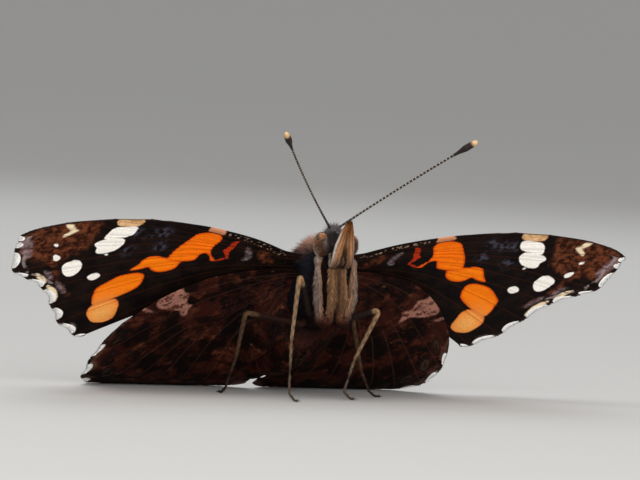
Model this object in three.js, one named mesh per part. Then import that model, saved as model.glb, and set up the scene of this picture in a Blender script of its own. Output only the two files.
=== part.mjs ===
// A red admiral butterfly, standing with its wings held open and its head up.
// Millimetres, +Z up, +X to the insect's left, and it faces -Y.
// The origin lies on the floor under the middle of the whole insect.
import * as THREE from 'three';

// Stance: the wing roots stand this high above the floor, and this far along Y.
const ROOT_HEIGHT = 13.5;
const ROOT_Y = -3.52;
const WING_PITCH = THREE.MathUtils.degToRad(43);
const BODY_PITCH = THREE.MathUtils.degToRad(52);

// The slit left between two pieces that touch, and the flank that carries the wings.
const GAP = 0.3;
const FLANK_X = 2.7;
const WING_ROOT_X = FLANK_X + GAP;

// Wings: plate thickness, rise of a vein over each face and half the width of its foot.
const WING_THICKNESS = 0.5;
const VEIN_RISE = 0.12;
const VEIN_FOOT = 0.32;
// The hindwings hang this far below the forewings, so that a slit stays between their veins.
const HINDWING_DROP = WING_THICKNESS + 2 * VEIN_RISE + GAP;
// Measured back from the wing root along the hindwing, its rear edge lies on the floor from here on.
const FLOOR_REACH = 21.3;

// Colours of the underside and body.
const COLOURS = {
  wing: 0x2a1a14,
  hindwing: 0x2e1a16,
  body: 0x6b5646,
  abdomen: 0x4a3428,
  head: 0x5c544c,
  eye: 0x6a4526,
  palp: 0x9a7b58,
  antenna: 0x1c1512,
  foreleg: 0x8a7158,
  leg: 0x8c7f5c
};

function material(colour, roughness) {
  return new THREE.MeshStandardMaterial({ color: colour, roughness, metalness: 0 });
}

// A point of the insect, from its distance to the midline, its distance back along a line that is
// pitched head up through the wing roots, and its depth below that line.
function pitched(pitch, x, back, below) {
  return new THREE.Vector3(
    x,
    ROOT_Y + back * Math.cos(pitch) - below * Math.sin(pitch),
    ROOT_HEIGHT - back * Math.sin(pitch) - below * Math.cos(pitch)
  );
}

// A point from its distance to the midline, its distance behind the wing roots and its height.
function standing([x, behind, height]) {
  return new THREE.Vector3(x, ROOT_Y + behind, height);
}

// A closed indexed mesh from points and triangles, turned so that its faces point out.
function closedMesh(points, triangles) {
  const a = new THREE.Vector3();
  let volume = 0;
  for (const [i, j, k] of triangles) {
    volume += a.copy(points[i]).cross(points[j]).dot(points[k]);
  }
  const turned = volume < 0 ? triangles.map(([i, j, k]) => [i, k, j]) : triangles;
  const geometry = new THREE.BufferGeometry();
  geometry.setFromPoints(points);
  geometry.setIndex(turned.flat());
  geometry.computeVertexNormals();
  return geometry;
}

// A skin over rings that all have the same number of points, closed at both ends by a fan.
function loft(rings) {
  const count = rings[0].length;
  const points = rings.flat();
  const triangles = [];
  for (let r = 0; r + 1 < rings.length; r++) {
    for (let i = 0; i < count; i++) {
      const j = (i + 1) % count;
      const [a, b] = [r * count + i, r * count + j];
      triangles.push([a, b, b + count], [a, b + count, a + count]);
    }
  }
  for (const end of [0, rings.length - 1]) {
    const middle = rings[end].reduce((sum, p) => sum.add(p), new THREE.Vector3()).divideScalar(count);
    const centre = points.push(middle) - 1;
    for (let i = 0; i < count; i++) {
      const [a, b] = [end * count + i, end * count + (i + 1) % count];
      triangles.push(end === 0 ? [centre, b, a] : [centre, a, b]);
    }
  }
  return closedMesh(points, triangles);
}

// Power of a sine or cosine that keeps its sign, which squares an oval's corners.
function squared(value, power) {
  return Math.sign(value) * Math.abs(value) ** (2 / power);
}

// The thorax and the head are lofted from upright ovals. A station gives its distance back along the
// body, its top, widest level and bottom below the wing roots, and its half width.
const OVAL_SIDES = 20;
const OVAL_POWER = 2.4;

function ovals(stations, flank) {
  return stations.map(([back, top, widest, bottom, half]) => {
    const ring = [];
    for (let i = 0; i < OVAL_SIDES; i++) {
      const angle = (2 * Math.PI * (i + 0.5)) / OVAL_SIDES;
      const [across, down] = [squared(Math.cos(angle), OVAL_POWER), squared(Math.sin(angle), OVAL_POWER)];
      const below = widest + down * (down > 0 ? bottom - widest : widest - top);
      const x = THREE.MathUtils.clamp(across * half, -flank, flank);
      ring.push(pitched(BODY_PITCH, x, back, below));
    }
    return ring;
  });
}

const THORAX_FRONT = -1.15;
const THORAX_REAR = 6.2;
const thoraxStations = [
  [THORAX_FRONT, -0.25, 1.0, 1.95, 1.0],
  [-0.8, -1.15, 0.9, 2.5, 1.75],
  [0.0, -1.9, 0.85, 3.15, 2.5],
  [1.2, -2.25, 0.8, 4.0, 2.95],
  [2.6, -2.1, 0.8, 4.65, 3.0],
  [4.0, -1.5, 0.9, 4.8, 2.85],
  [5.2, -0.5, 1.2, 4.3, 2.35],
  [THORAX_REAR, 0.6, 1.7, 3.1, 1.45]
];

const HEAD_FLANK = 1.1;
const HEAD_REAR = THORAX_FRONT - GAP;
const headStations = [
  [HEAD_REAR, 0.15, 1.0, 1.9, 0.8],
  [HEAD_REAR - 0.35, -0.3, 0.95, 2.1, 1.1],
  [HEAD_REAR - 0.9, -0.5, 0.9, 2.2, 1.25],
  [HEAD_REAR - 1.5, -0.35, 0.85, 2.0, 1.15],
  [HEAD_REAR - 1.95, 0.05, 0.75, 1.55, 0.95],
  [HEAD_REAR - 2.15, 0.4, 0.7, 1.1, 0.5]
];

// A limb is a tube along a line through its joints, rounded at each joint. Radii are given at the
// joints, across and along the reference direction.
const CORNER_STEPS = 4;

function roundedPath(joints, bend) {
  const path = [{ point: joints[0], at: 0 }];
  for (let i = 1; i + 1 < joints.length; i++) {
    const before = joints[i - 1].clone().sub(joints[i]).normalize();
    const after = joints[i + 1].clone().sub(joints[i]).normalize();
    const half = before.angleTo(after) / 2;
    const centre = before.clone().add(after).setLength(bend / Math.sin(half)).add(joints[i]);
    const start = before.multiplyScalar(bend / Math.tan(half)).add(joints[i]).sub(centre);
    const end = after.multiplyScalar(bend / Math.tan(half)).add(joints[i]).sub(centre);
    const sweep = Math.PI - 2 * half;
    for (let k = 0; k <= CORNER_STEPS; k++) {
      const t = k / CORNER_STEPS;
      const point = centre.clone()
        .addScaledVector(start, Math.sin((1 - t) * sweep) / Math.sin(sweep))
        .addScaledVector(end, Math.sin(t * sweep) / Math.sin(sweep));
      path.push({ point, at: i });
    }
  }
  path.push({ point: joints[joints.length - 1], at: joints.length - 1 });
  return path;
}

function tube(centres, halfSizes, reference, sides) {
  const rings = centres.map((centre, i) => {
    const ahead = centres[Math.min(i + 1, centres.length - 1)];
    const behind = centres[Math.max(i - 1, 0)];
    const along = ahead.clone().sub(behind).normalize();
    const across = reference.clone().addScaledVector(along, -reference.dot(along)).normalize();
    const other = along.clone().cross(across);
    const ring = [];
    for (let k = 0; k < sides; k++) {
      const angle = (2 * Math.PI * (k + 0.5)) / sides;
      const point = centre.clone()
        .addScaledVector(across, halfSizes[i][0] * Math.cos(angle))
        .addScaledVector(other, halfSizes[i][1] * Math.sin(angle));
      point.z = Math.max(point.z, 0);
      ring.push(point);
    }
    return ring;
  });
  return loft(rings);
}

function limb(joints, sizes, bend, reference, sides) {
  const path = roundedPath(joints, bend);
  return tube(path.map(({ point }) => point), path.map(({ at }) => sizes[at]), reference, sides);
}

// The abdomen leaves the thorax's rear face and levels out as it goes back, fastest at its waist.
// Each of its segments swells a little between two joints.
const ABDOMEN_LENGTH = 11.3;
const ABDOMEN_SEGMENTS = 8;
const ABDOMEN_LEVELLING = 1.5;
const ABDOMEN_RADIUS = 1.85;
const ABDOMEN_START = 1.75;
const ABDOMEN_TIP = 0.5;
const ABDOMEN_DEPTH = 1.75;
const ABDOMEN_SIDES = 14;

function abdomen() {
  const steps = 2 * ABDOMEN_SEGMENTS;
  const centre = pitched(BODY_PITCH, 0, THORAX_REAR + GAP, ABDOMEN_DEPTH);
  const [centres, sizes] = [[], []];
  for (let i = 0; i <= steps; i++) {
    const t = i / steps;
    const swell = i % 2 === 0 ? 0.96 : 1.02;
    const front = ABDOMEN_START + (ABDOMEN_RADIUS - ABDOMEN_START) * Math.sin(Math.min(1, t / 0.4) * Math.PI / 2);
    const rear = ABDOMEN_TIP + (front - ABDOMEN_TIP) * Math.sqrt(Math.max(0, 1 - ((t - 0.35) / 0.65) ** 2));
    const radius = (t < 0.35 ? front : rear) * swell;
    centres.push(centre.clone());
    sizes.push([radius, radius]);
    const pitch = BODY_PITCH * (1 - t) ** ABDOMEN_LEVELLING;
    centre.y += (ABDOMEN_LENGTH / steps) * Math.cos(pitch);
    centre.z -= (ABDOMEN_LENGTH / steps) * Math.sin(pitch);
  }
  return tube(centres, sizes, new THREE.Vector3(1, 0, 0), ABDOMEN_SIDES);
}

// Each eye is a cap that stands face to face with the flat side of the head.
const EYE_RADIUS = 1.02;
const EYE_BULGE = 0.8;
const EYE_BACK = -2.4;
const EYE_BELOW = 1.15;

function eye(side) {
  const profile = [new THREE.Vector2(0, 0)];
  const steps = 6;
  for (let i = 0; i <= steps; i++) {
    const angle = (Math.PI / 2) * (i / steps);
    profile.push(new THREE.Vector2(i === steps ? 0 : EYE_RADIUS * Math.cos(angle), EYE_BULGE * Math.sin(angle)));
  }
  const geometry = new THREE.LatheGeometry(profile, 16);
  geometry.rotateZ(-side * Math.PI / 2);
  const centre = pitched(BODY_PITCH, side * (HEAD_FLANK + GAP), EYE_BACK, EYE_BELOW);
  geometry.translate(centre.x, centre.y, centre.z);
  return geometry;
}

// A palp stands in front of the face, from under the mouth to above the brow.
const palpJoints = [[0.74, -3.3, 12.35], [0.74, -3.8, 13.3], [0.66, -4.05, 14.6], [0.5, -4.45, 15.9], [0.36, -4.85, 16.9]];
const palpSizes = [[0.38, 0.3], [0.52, 0.42], [0.5, 0.42], [0.34, 0.3], [0.16, 0.14]];
const PALP_SIDES = 10;

// An antenna has a short thick scape, a thin, slightly bowed stalk and a club at its end. The profile
// gives the radius at a share of its length.
const ANTENNA_BASE = [0.71, -2.08, 16.5];
const ANTENNA_TIP = [10.22, -10.12, 25.14];
const ANTENNA_BOW = [0.08, 0.42, 0.05];
const antennaProfile = [
  [0, 0.3], [0.03, 0.34], [0.05, 0.25], [0.27, 0.25], [0.5, 0.25], [0.7, 0.25],
  [0.84, 0.25], [0.88, 0.34], [0.93, 0.42], [0.975, 0.36], [1, 0.16]
];
const ANTENNA_SIDES = 10;

function antenna(side) {
  const centres = antennaProfile.map(([share]) => {
    const [x, behind, height] = ANTENNA_BASE.map((start, axis) => (
      start * (1 - share) + ANTENNA_TIP[axis] * share + 4 * share * (1 - share) * ANTENNA_BOW[axis]
    ));
    return standing([side * x, behind, height]);
  });
  const sizes = antennaProfile.map(([, radius]) => [radius, radius]);
  return tube(centres, sizes, new THREE.Vector3(0, 0, 1), ANTENNA_SIDES);
}

// A foreleg is a short brush folded on the chest: down beside the midline, round, and up outside. Both
// lean to the right of the body.
const forelegJoints = {
  left: [[0.62, -3.15, 11.75], [0.62, -3.3, 9.7], [0.26, -3.25, 7.35], [1.14, -3.1, 7.6], [1.82, -2.95, 9.9],
    [2.0, -2.6, 13.1]],
  right: [[-0.62, -3.15, 11.75], [-0.66, -3.3, 9.7], [-0.84, -3.25, 7.3], [-1.76, -3.1, 7.25], [-1.95, -2.95, 9.6],
    [-2.0, -2.6, 13.1]]
};
const forelegSizes = [[0.36, 0.3], [0.45, 0.38], [0.37, 0.34], [0.37, 0.34], [0.48, 0.4], [0.34, 0.3]];
const FORELEG_BEND = 0.45;
const FORELEG_SIDES = 10;

// Walking legs: distance from the midline, distance behind the wing roots and height above the floor
// of the hip, knee, ankle, the point where the foot comes down and the tip of the toes.
const FOOT_HEIGHT = 0.15;
const walkingLegs = {
  mid_leg_left: [[2.1, -1.54, 7.7], [6.2, -0.55, 8.65], [3.9, -0.2, 3.8], [3.0, -0.1, 0.75], [3.35, -0.7, FOOT_HEIGHT],
    [3.6, -1.15, FOOT_HEIGHT]],
  mid_leg_right: [[-2.1, -1.75, 8.05], [-4.5, -3.85, 12.0], [-5.2, -4.2, 5.7], [-5.3, -4.45, 0.8],
    [-5.0, -5.0, FOOT_HEIGHT], [-4.75, -5.4, FOOT_HEIGHT]],
  hind_leg_left: [[2.1, -0.5, 7.0], [5.5, 3.4, 7.35], [6.9, 3.7, 2.5], [7.8, 3.6, 0.6], [8.4, 3.5, FOOT_HEIGHT],
    [9.0, 3.4, FOOT_HEIGHT]],
  hind_leg_right: [[-2.1, -0.6, 7.0], [-7.4, 1.0, 7.9], [-7.3, 2.6, 3.6], [-7.4, 4.2, 0.6], [-7.45, 4.8, FOOT_HEIGHT],
    [-7.5, 5.4, FOOT_HEIGHT]]
};
const legSizes = [[0.4, 0.4], [0.3, 0.3], [0.26, 0.26], [0.25, 0.25], [0.25, 0.25], [0.22, 0.22]];
const LEG_BEND = 0.32;
const LEG_SIDES = 8;

// Both wings follow one slightly arched and twisted sheet: its rise above the flat wing plane.
function arch(x, back) {
  const out = x - WING_ROOT_X;
  return 0.048 * out - 0.062 * out * out / 30 - 0.087 * out * back / 30;
}

function forewingSurface(x, back) {
  return pitched(WING_PITCH, x, back, -arch(x, back));
}

// The hindwing is straight as far as its bend, then a round bend lays its rear edge level. The bend's
// radius follows from the height of the wing root.
const hindwingRoot = ROOT_HEIGHT - HINDWING_DROP * Math.cos(WING_PITCH);
const hindwingFall = hindwingRoot - WING_THICKNESS / 2;
const BEND_RADIUS = (Math.sin(WING_PITCH) * FLOOR_REACH - hindwingFall)
  / (WING_PITCH * Math.sin(WING_PITCH) - (1 - Math.cos(WING_PITCH)));
const STRAIGHT_RUN = FLOOR_REACH - BEND_RADIUS * WING_PITCH;
// Beside the abdomen it folds down into a trough that runs under the abdomen.
const TROUGH_HALF = 5.6;
const TROUGH_FRONT = 3.0;
const TROUGH_DEEPEST = 6.0;
const TROUGH_REAR = 17.2;
const TROUGH_DEPTH = 5.6;
const TROUGH_SQUARE = 0.6;

function trough(x, back) {
  const before = THREE.MathUtils.smoothstep(back, TROUGH_FRONT, TROUGH_DEEPEST);
  const behind = THREE.MathUtils.clamp((back - TROUGH_DEEPEST) / (TROUGH_REAR - TROUGH_DEEPEST), 0, 1);
  const across = 0.5 + 0.5 * Math.cos(Math.PI * Math.min(1, x / TROUGH_HALF));
  return TROUGH_DEPTH * before * (1 - behind ** 1.3) * across ** TROUGH_SQUARE;
}

function hindwingSurface(x, back) {
  const run = Math.min(back, STRAIGHT_RUN);
  const turned = Math.min(Math.max(back - STRAIGHT_RUN, 0) / BEND_RADIUS, WING_PITCH);
  const level = Math.max(back - FLOOR_REACH, 0);
  const pitch = WING_PITCH - turned;
  const start = pitched(WING_PITCH, x, 0, HINDWING_DROP);
  start.y += run * Math.cos(WING_PITCH) + BEND_RADIUS * (Math.sin(WING_PITCH) - Math.sin(pitch)) + level;
  start.z -= run * Math.sin(WING_PITCH) + BEND_RADIUS * (Math.cos(pitch) - Math.cos(WING_PITCH));
  const lift = arch(x, back) * (1 - THREE.MathUtils.smoothstep(back, 12, 20));
  start.y += lift * Math.sin(pitch);
  start.z += lift * Math.cos(pitch) - trough(x, back);
  return start;
}

// A wing is a fan of lines from its root to its margin. A row gives the line's points, as distance
// from the midline and distance back: at the root, at the end of the cell and at the margin, with
// one more between where it bends. vein is the share of the line where its ridge starts, and bay
// how far the margin is cut back between this row and the next.
const forewingRows = [
  { line: [[3, 0.1], [7.65, -1.75], [12.6, -2.95], [15.2, -3.35], [17.6, -3.65]], bay: -0.05 },
  { line: [[3, 0.3], [12.6, -2.45], [19.6, -3.85]], vein: 0, bay: -0.05 },
  { line: [[3, 0.5], [13.4, -1.95], [23.4, -3.75]], vein: 0.35, bay: -0.12 },
  { line: [[3, 0.68], [14.2, -1.55], [28.2, -3.2]], vein: 0, bay: -0.2 },
  { line: [[3, 0.84], [14.7, -1.1], [32.75, -1.75]], vein: 0.5, bay: 0.12 },
  { line: [[3, 0.98], [14.9, -0.6], [32.6, 0.1]], vein: 0.5, bay: 0.15 },
  { line: [[3, 1.12], [14.9, 0.1], [31.8, 2.95]], vein: 0.5, bay: 0.3 },
  { line: [[3, 1.26], [14.6, 0.9], [30.0, 4.05]], vein: 0.5, bay: 0.3 },
  { line: [[3, 1.4], [14.2, 1.9], [27.8, 5.45]], vein: 0.5, bay: 0.3 },
  { line: [[3, 1.55], [13.2, 2.7], [25.85, 8.0]], vein: 0, bay: 0.3 },
  { line: [[3, 1.7], [11.6, 3.4], [24.2, 10.3]], vein: 0.3, bay: 0.3 },
  { line: [[3, 1.9], [9.8, 4.2], [21.8, 12.15]], vein: 0, bay: 0.1 },
  { line: [[3, 2.2], [6.4, 3.6], [9.6, 5.3], [15.4, 8.9], [20.8, 12.35]] }
];
const FOREWING_CELL = [3, 9];

const hindwingRows = [
  { line: [[3, 1.0], [6.6, 1.35], [11.2, 2.9], [15.0, 5.9], [17.7, 9.4]], bay: 0 },
  { line: [[3, 1.25], [10.9, 4.2], [18.8, 12.0]], vein: 0, bay: 0.25 },
  { line: [[3, 1.5], [10.9, 6.2], [19.3, 14.8]], vein: 0, bay: 0.3 },
  { line: [[3, 1.75], [10.9, 8.4], [18.7, 17.8]], vein: 0.5, bay: 0.3 },
  { line: [[3, 2.0], [10.5, 9.6], [17.0, 20.1]], vein: 0.5, bay: 0.3 },
  { line: [[3, 2.25], [9.7, 10.6], [14.6, 21.8]], vein: 0.5, bay: 0.3 },
  { line: [[3, 2.5], [8.6, 10.9], [11.4, 22.6]], vein: 0, bay: 0.3 },
  { line: [[3, 2.75], [7.1, 10.9], [8.1, 22.4]], vein: 0.3, bay: 0.3 },
  { line: [[3, 3.0], [4.7, 6.8], [5.3, 10.9], [5.3, 16.5], [5.1, 21.8]], vein: 0, bay: 0.2 },
  { line: [[3, 3.25], [3.9, 6.4], [3.9, 10.3], [3.7, 16.0], [3.6, 21.2]], bay: 0 },
  { line: [[3, 3.5], [3.3, 6.1], [2.5, 9.7], [2.3, 15.5], [2.4, 20.5]], bay: 0 },
  { line: [[3, 3.75], [2.75, 5.9], [1.2, 8.8], [1.1, 15.0], [1.4, 19.7]], bay: 0 },
  { line: [[3, 4.0], [2.3, 5.7], [0.35, 7.8], [0.25, 14.3], [0.5, 18.9]] }
];
const HINDWING_CELL = [2, 6];
const CROSS_VEIN_RISE = 0.6;
// The two hindwings keep this slit between them under the abdomen.
const MIDLINE_GAP = 0.45;

// All lines of a wing, each with its place and its ridge height at every step out from the root.
function wingLines(rows, cell, steps) {
  const curves = rows.map(({ line }) => new THREE.SplineCurve(line.map(([x, back]) => new THREE.Vector2(x, back))));
  const shares = [];
  for (let i = 0; i <= steps[0]; i++) {
    shares.push(0.5 * i / steps[0]);
  }
  for (let i = 1; i <= steps[1]; i++) {
    shares.push(0.5 + 0.5 * i / steps[1]);
  }
  const stations = curves.map((curve) => shares.map((t) => {
    const place = curve.getPoint(t);
    place.x = Math.max(place.x, MIDLINE_GAP / 2);
    return place;
  }));
  const crossVein = (index, i) => (i === steps[0] && index >= cell[0] && index < cell[1] ? CROSS_VEIN_RISE : 0);
  const lines = [];
  const foot = (row, next, index) => {
    lines.push(stations[row].map((p, i) => {
      const distance = p.distanceTo(stations[next][i]);
      const share = Math.min(0.3, VEIN_FOOT / distance);
      return { place: p.clone().lerp(stations[next][i], share), ridge: crossVein(index, i) };
    }));
  };
  rows.forEach((row, index) => {
    const ridge = (i) => (row.vein !== undefined && shares[i] >= row.vein ? 1 : crossVein(index, i));
    lines.push(stations[index].map((place, i) => ({ place, ridge: ridge(i) })));
    if (index + 1 === rows.length) {
      return;
    }
    if (row.vein !== undefined) {
      foot(index, index + 1, index);
    }
    lines.push(stations[index].map((p, i) => {
      const place = p.clone().lerp(stations[index + 1][i], 0.5);
      if (i === shares.length - 1) {
        const inward = stations[index][i - 1].clone().add(stations[index + 1][i - 1]).multiplyScalar(0.5).sub(place);
        place.add(inward.setLength(1).multiplyScalar(row.bay));
      }
      return { place, ridge: crossVein(index, i) };
    }));
    if (rows[index + 1].vein !== undefined) {
      foot(index + 1, index, index);
    }
  });
  return lines;
}

// The wing's plate: the same triangles on its upper and lower face, and a rim all round.
const SLOPE_STEP = 0.02;
const RIDGE_FADE = [18, 20.5];

function wing(lines, surface, side) {
  const [rows, columns] = [lines.length, lines[0].length];
  const points = [];
  for (const face of [1, -1]) {
    for (const line of lines) {
      for (const { place, ridge } of line) {
        const { x, y: back } = place;
        const across = surface(x + SLOPE_STEP, back).sub(surface(x - SLOPE_STEP, back));
        const along = surface(x, back + SLOPE_STEP).sub(surface(x, back - SLOPE_STEP));
        const normal = across.cross(along).normalize();
        normal.multiplyScalar(Math.sign(normal.z));
        const rise = VEIN_RISE * ridge * (1 - THREE.MathUtils.smoothstep(back, ...RIDGE_FADE));
        const point = surface(x, back).addScaledVector(normal, face * (WING_THICKNESS / 2 + rise));
        point.x *= side;
        points.push(point);
      }
    }
  }
  const at = (face, row, column) => face * rows * columns + row * columns + column;
  const triangles = [];
  for (let r = 0; r + 1 < rows; r++) {
    for (let c = 0; c + 1 < columns; c++) {
      const [a, b, d, e] = [at(0, r, c), at(0, r + 1, c), at(0, r + 1, c + 1), at(0, r, c + 1)];
      const low = rows * columns;
      triangles.push([a, b, d], [a, d, e], [a + low, d + low, b + low], [a + low, e + low, d + low]);
    }
  }
  const rim = [];
  for (let c = 0; c + 1 < columns; c++) {
    rim.push([0, c]);
  }
  for (let r = 0; r + 1 < rows; r++) {
    rim.push([r, columns - 1]);
  }
  for (let c = columns - 1; c > 0; c--) {
    rim.push([rows - 1, c]);
  }
  for (let r = rows - 1; r > 0; r--) {
    rim.push([r, 0]);
  }
  rim.forEach(([r, c], i) => {
    const [nextRow, nextColumn] = rim[(i + 1) % rim.length];
    const [a, b] = [at(0, r, c), at(0, nextRow, nextColumn)];
    const [d, e] = [at(1, nextRow, nextColumn), at(1, r, c)];
    triangles.push([a, b, d], [a, d, e]);
  });
  return closedMesh(points, triangles);
}

const FOREWING_STEPS = [4, 5];
const HINDWING_STEPS = [6, 7];

// The insect, node by node.
const admiral = new THREE.Group();
admiral.name = 'red_admiral';

function add(name, geometry, colour, roughness) {
  const mesh = new THREE.Mesh(geometry, material(colour, roughness));
  mesh.name = name;
  admiral.add(mesh);
}

add('thorax', loft(ovals(thoraxStations, FLANK_X)), COLOURS.body, 0.9);
add('abdomen', abdomen(), COLOURS.abdomen, 0.9);
add('head', loft(ovals(headStations, HEAD_FLANK)), COLOURS.head, 0.9);

const forewingLines = wingLines(forewingRows, FOREWING_CELL, FOREWING_STEPS);
const hindwingLines = wingLines(hindwingRows, HINDWING_CELL, HINDWING_STEPS);

for (const [hand, side] of [['left', 1], ['right', -1]]) {
  const mirrored = ([x, behind, height]) => standing([side * x, behind, height]);
  const across = new THREE.Vector3(1, 0, 0);
  add(`forewing_${hand}`, wing(forewingLines, forewingSurface, side), COLOURS.wing, 0.8);
  add(`hindwing_${hand}`, wing(hindwingLines, hindwingSurface, side), COLOURS.hindwing, 0.85);
  add(`eye_${hand}`, eye(side), COLOURS.eye, 0.5);
  add(`palp_${hand}`, tube(palpJoints.map(mirrored), palpSizes, across, PALP_SIDES), COLOURS.palp, 0.9);
  add(`antenna_${hand}`, antenna(side), COLOURS.antenna, 0.6);
  const foreleg = limb(forelegJoints[hand].map(standing), forelegSizes, FORELEG_BEND, across, FORELEG_SIDES);
  add(`foreleg_${hand}`, foreleg, COLOURS.foreleg, 0.9);
}

for (const [name, joints] of Object.entries(walkingLegs)) {
  const forward = new THREE.Vector3(0, 1, 0);
  add(name, limb(joints.map(standing), legSizes, LEG_BEND, forward, LEG_SIDES), COLOURS.leg, 0.7);
}

export default admiral;
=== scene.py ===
import math

import bmesh
import bpy
import numpy as np
from mathutils import Matrix, Vector


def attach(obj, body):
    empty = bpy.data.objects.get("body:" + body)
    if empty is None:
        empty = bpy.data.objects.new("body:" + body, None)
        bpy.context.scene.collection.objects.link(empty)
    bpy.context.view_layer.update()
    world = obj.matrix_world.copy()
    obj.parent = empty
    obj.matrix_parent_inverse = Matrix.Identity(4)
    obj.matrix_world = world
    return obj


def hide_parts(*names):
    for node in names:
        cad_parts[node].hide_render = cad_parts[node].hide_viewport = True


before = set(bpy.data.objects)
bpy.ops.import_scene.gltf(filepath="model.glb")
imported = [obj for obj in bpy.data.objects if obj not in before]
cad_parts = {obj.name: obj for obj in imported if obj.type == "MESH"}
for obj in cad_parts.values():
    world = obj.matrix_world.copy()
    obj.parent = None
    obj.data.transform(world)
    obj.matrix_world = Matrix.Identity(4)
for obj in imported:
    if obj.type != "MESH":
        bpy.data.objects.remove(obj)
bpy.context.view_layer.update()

# Camera and studio
# The insect stands in a plain pale studio with soft, even daylight. The camera looks at its face and
# the underside of its raised wings from a little to its right, level with its wing roots.
MM = 0.001
ROOT_HEIGHT = 13.5
ROOT_Y = -3.52
WING_PITCH = math.radians(43)
BODY_PITCH = math.radians(52)
VIEW_AZIMUTH = -29.02
VIEW_ELEVATION = 2
VIEW_ROLL = math.radians(3.15)
VIEW_DISTANCE = 600
VIEW_CENTRE = (-0.27, ROOT_Y + 0.26, ROOT_HEIGHT + 1.48)
LENS_LENGTH = 358.3
LAMP_SIZE = 0.4


def aimed(data, centre, azimuth, elevation, distance):
    """A camera or lamp that stands in a direction from a centre and faces it."""
    around, up = math.radians(azimuth), math.radians(elevation)
    out = Vector((math.sin(around) * math.cos(up), -math.cos(around) * math.cos(up), math.sin(up)))
    item = bpy.data.objects.new(data.name, data)
    item.location = (Vector(centre) + out * distance) * MM
    item.rotation_mode = "QUATERNION"
    item.rotation_quaternion = (-out).to_track_quat("-Z", "Y")
    bpy.context.collection.objects.link(item)
    return item


lens = bpy.data.cameras.new("camera")
lens.lens = LENS_LENGTH
lens.sensor_width = 36
lens.clip_start = 0.05
camera = aimed(lens, VIEW_CENTRE, VIEW_AZIMUTH, VIEW_ELEVATION, VIEW_DISTANCE)
roll = Matrix.Rotation(VIEW_ROLL, 3, "Z").to_quaternion()
camera.rotation_quaternion = camera.rotation_quaternion @ roll
bpy.context.scene.camera = camera
bpy.context.scene.view_settings.view_transform = "Standard"

world = bpy.data.worlds.new("daylight")
world.use_nodes = True
daylight = world.node_tree.nodes["Background"].inputs
daylight["Color"].default_value = (0.97, 0.97, 0.97, 1)
daylight["Strength"].default_value = 0.66
bpy.context.scene.world = world

for name, azimuth, elevation, distance, power, colour in (
    ("sky_light", -60, 60, 500, 1.2, (1.0, 0.98, 0.95)),
    ("front_light", -15, 14, 600, 3.2, (1.0, 0.99, 0.97)),
    ("back_light", 150, 40, 600, 0.9, (0.95, 0.97, 1.0)),
):
    lamp = bpy.data.lights.new(name, "AREA")
    lamp.size = LAMP_SIZE
    lamp.energy = power
    lamp.color = colour
    aimed(lamp, (0, ROOT_Y, ROOT_HEIGHT), azimuth, elevation, distance)


class Amount:
    """A number that varies over a surface. Sums, differences and products add a material's nodes."""

    def __init__(self, paint, socket):
        self.paint = paint
        self.socket = socket

    def worked(self, operation, *terms):
        return self.paint.amount("ShaderNodeMath", {"operation": operation}, dict(enumerate(terms)))

    def __add__(self, other):
        return self.worked("ADD", self, other)

    def __sub__(self, other):
        return self.worked("SUBTRACT", self, other)

    def __rsub__(self, other):
        return self.worked("SUBTRACT", other, self)

    def __mul__(self, other):
        return self.worked("MULTIPLY", self, other)

    __radd__ = __add__
    __rmul__ = __mul__

    def between(self, low, high):
        """0 below low, 1 above high and a soft step from one to the other."""
        sockets = {"Value": self, "From Min": low, "From Max": high}
        return self.paint.amount("ShaderNodeMapRange", {"interpolation_type": "SMOOTHSTEP"}, sockets)


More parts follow.
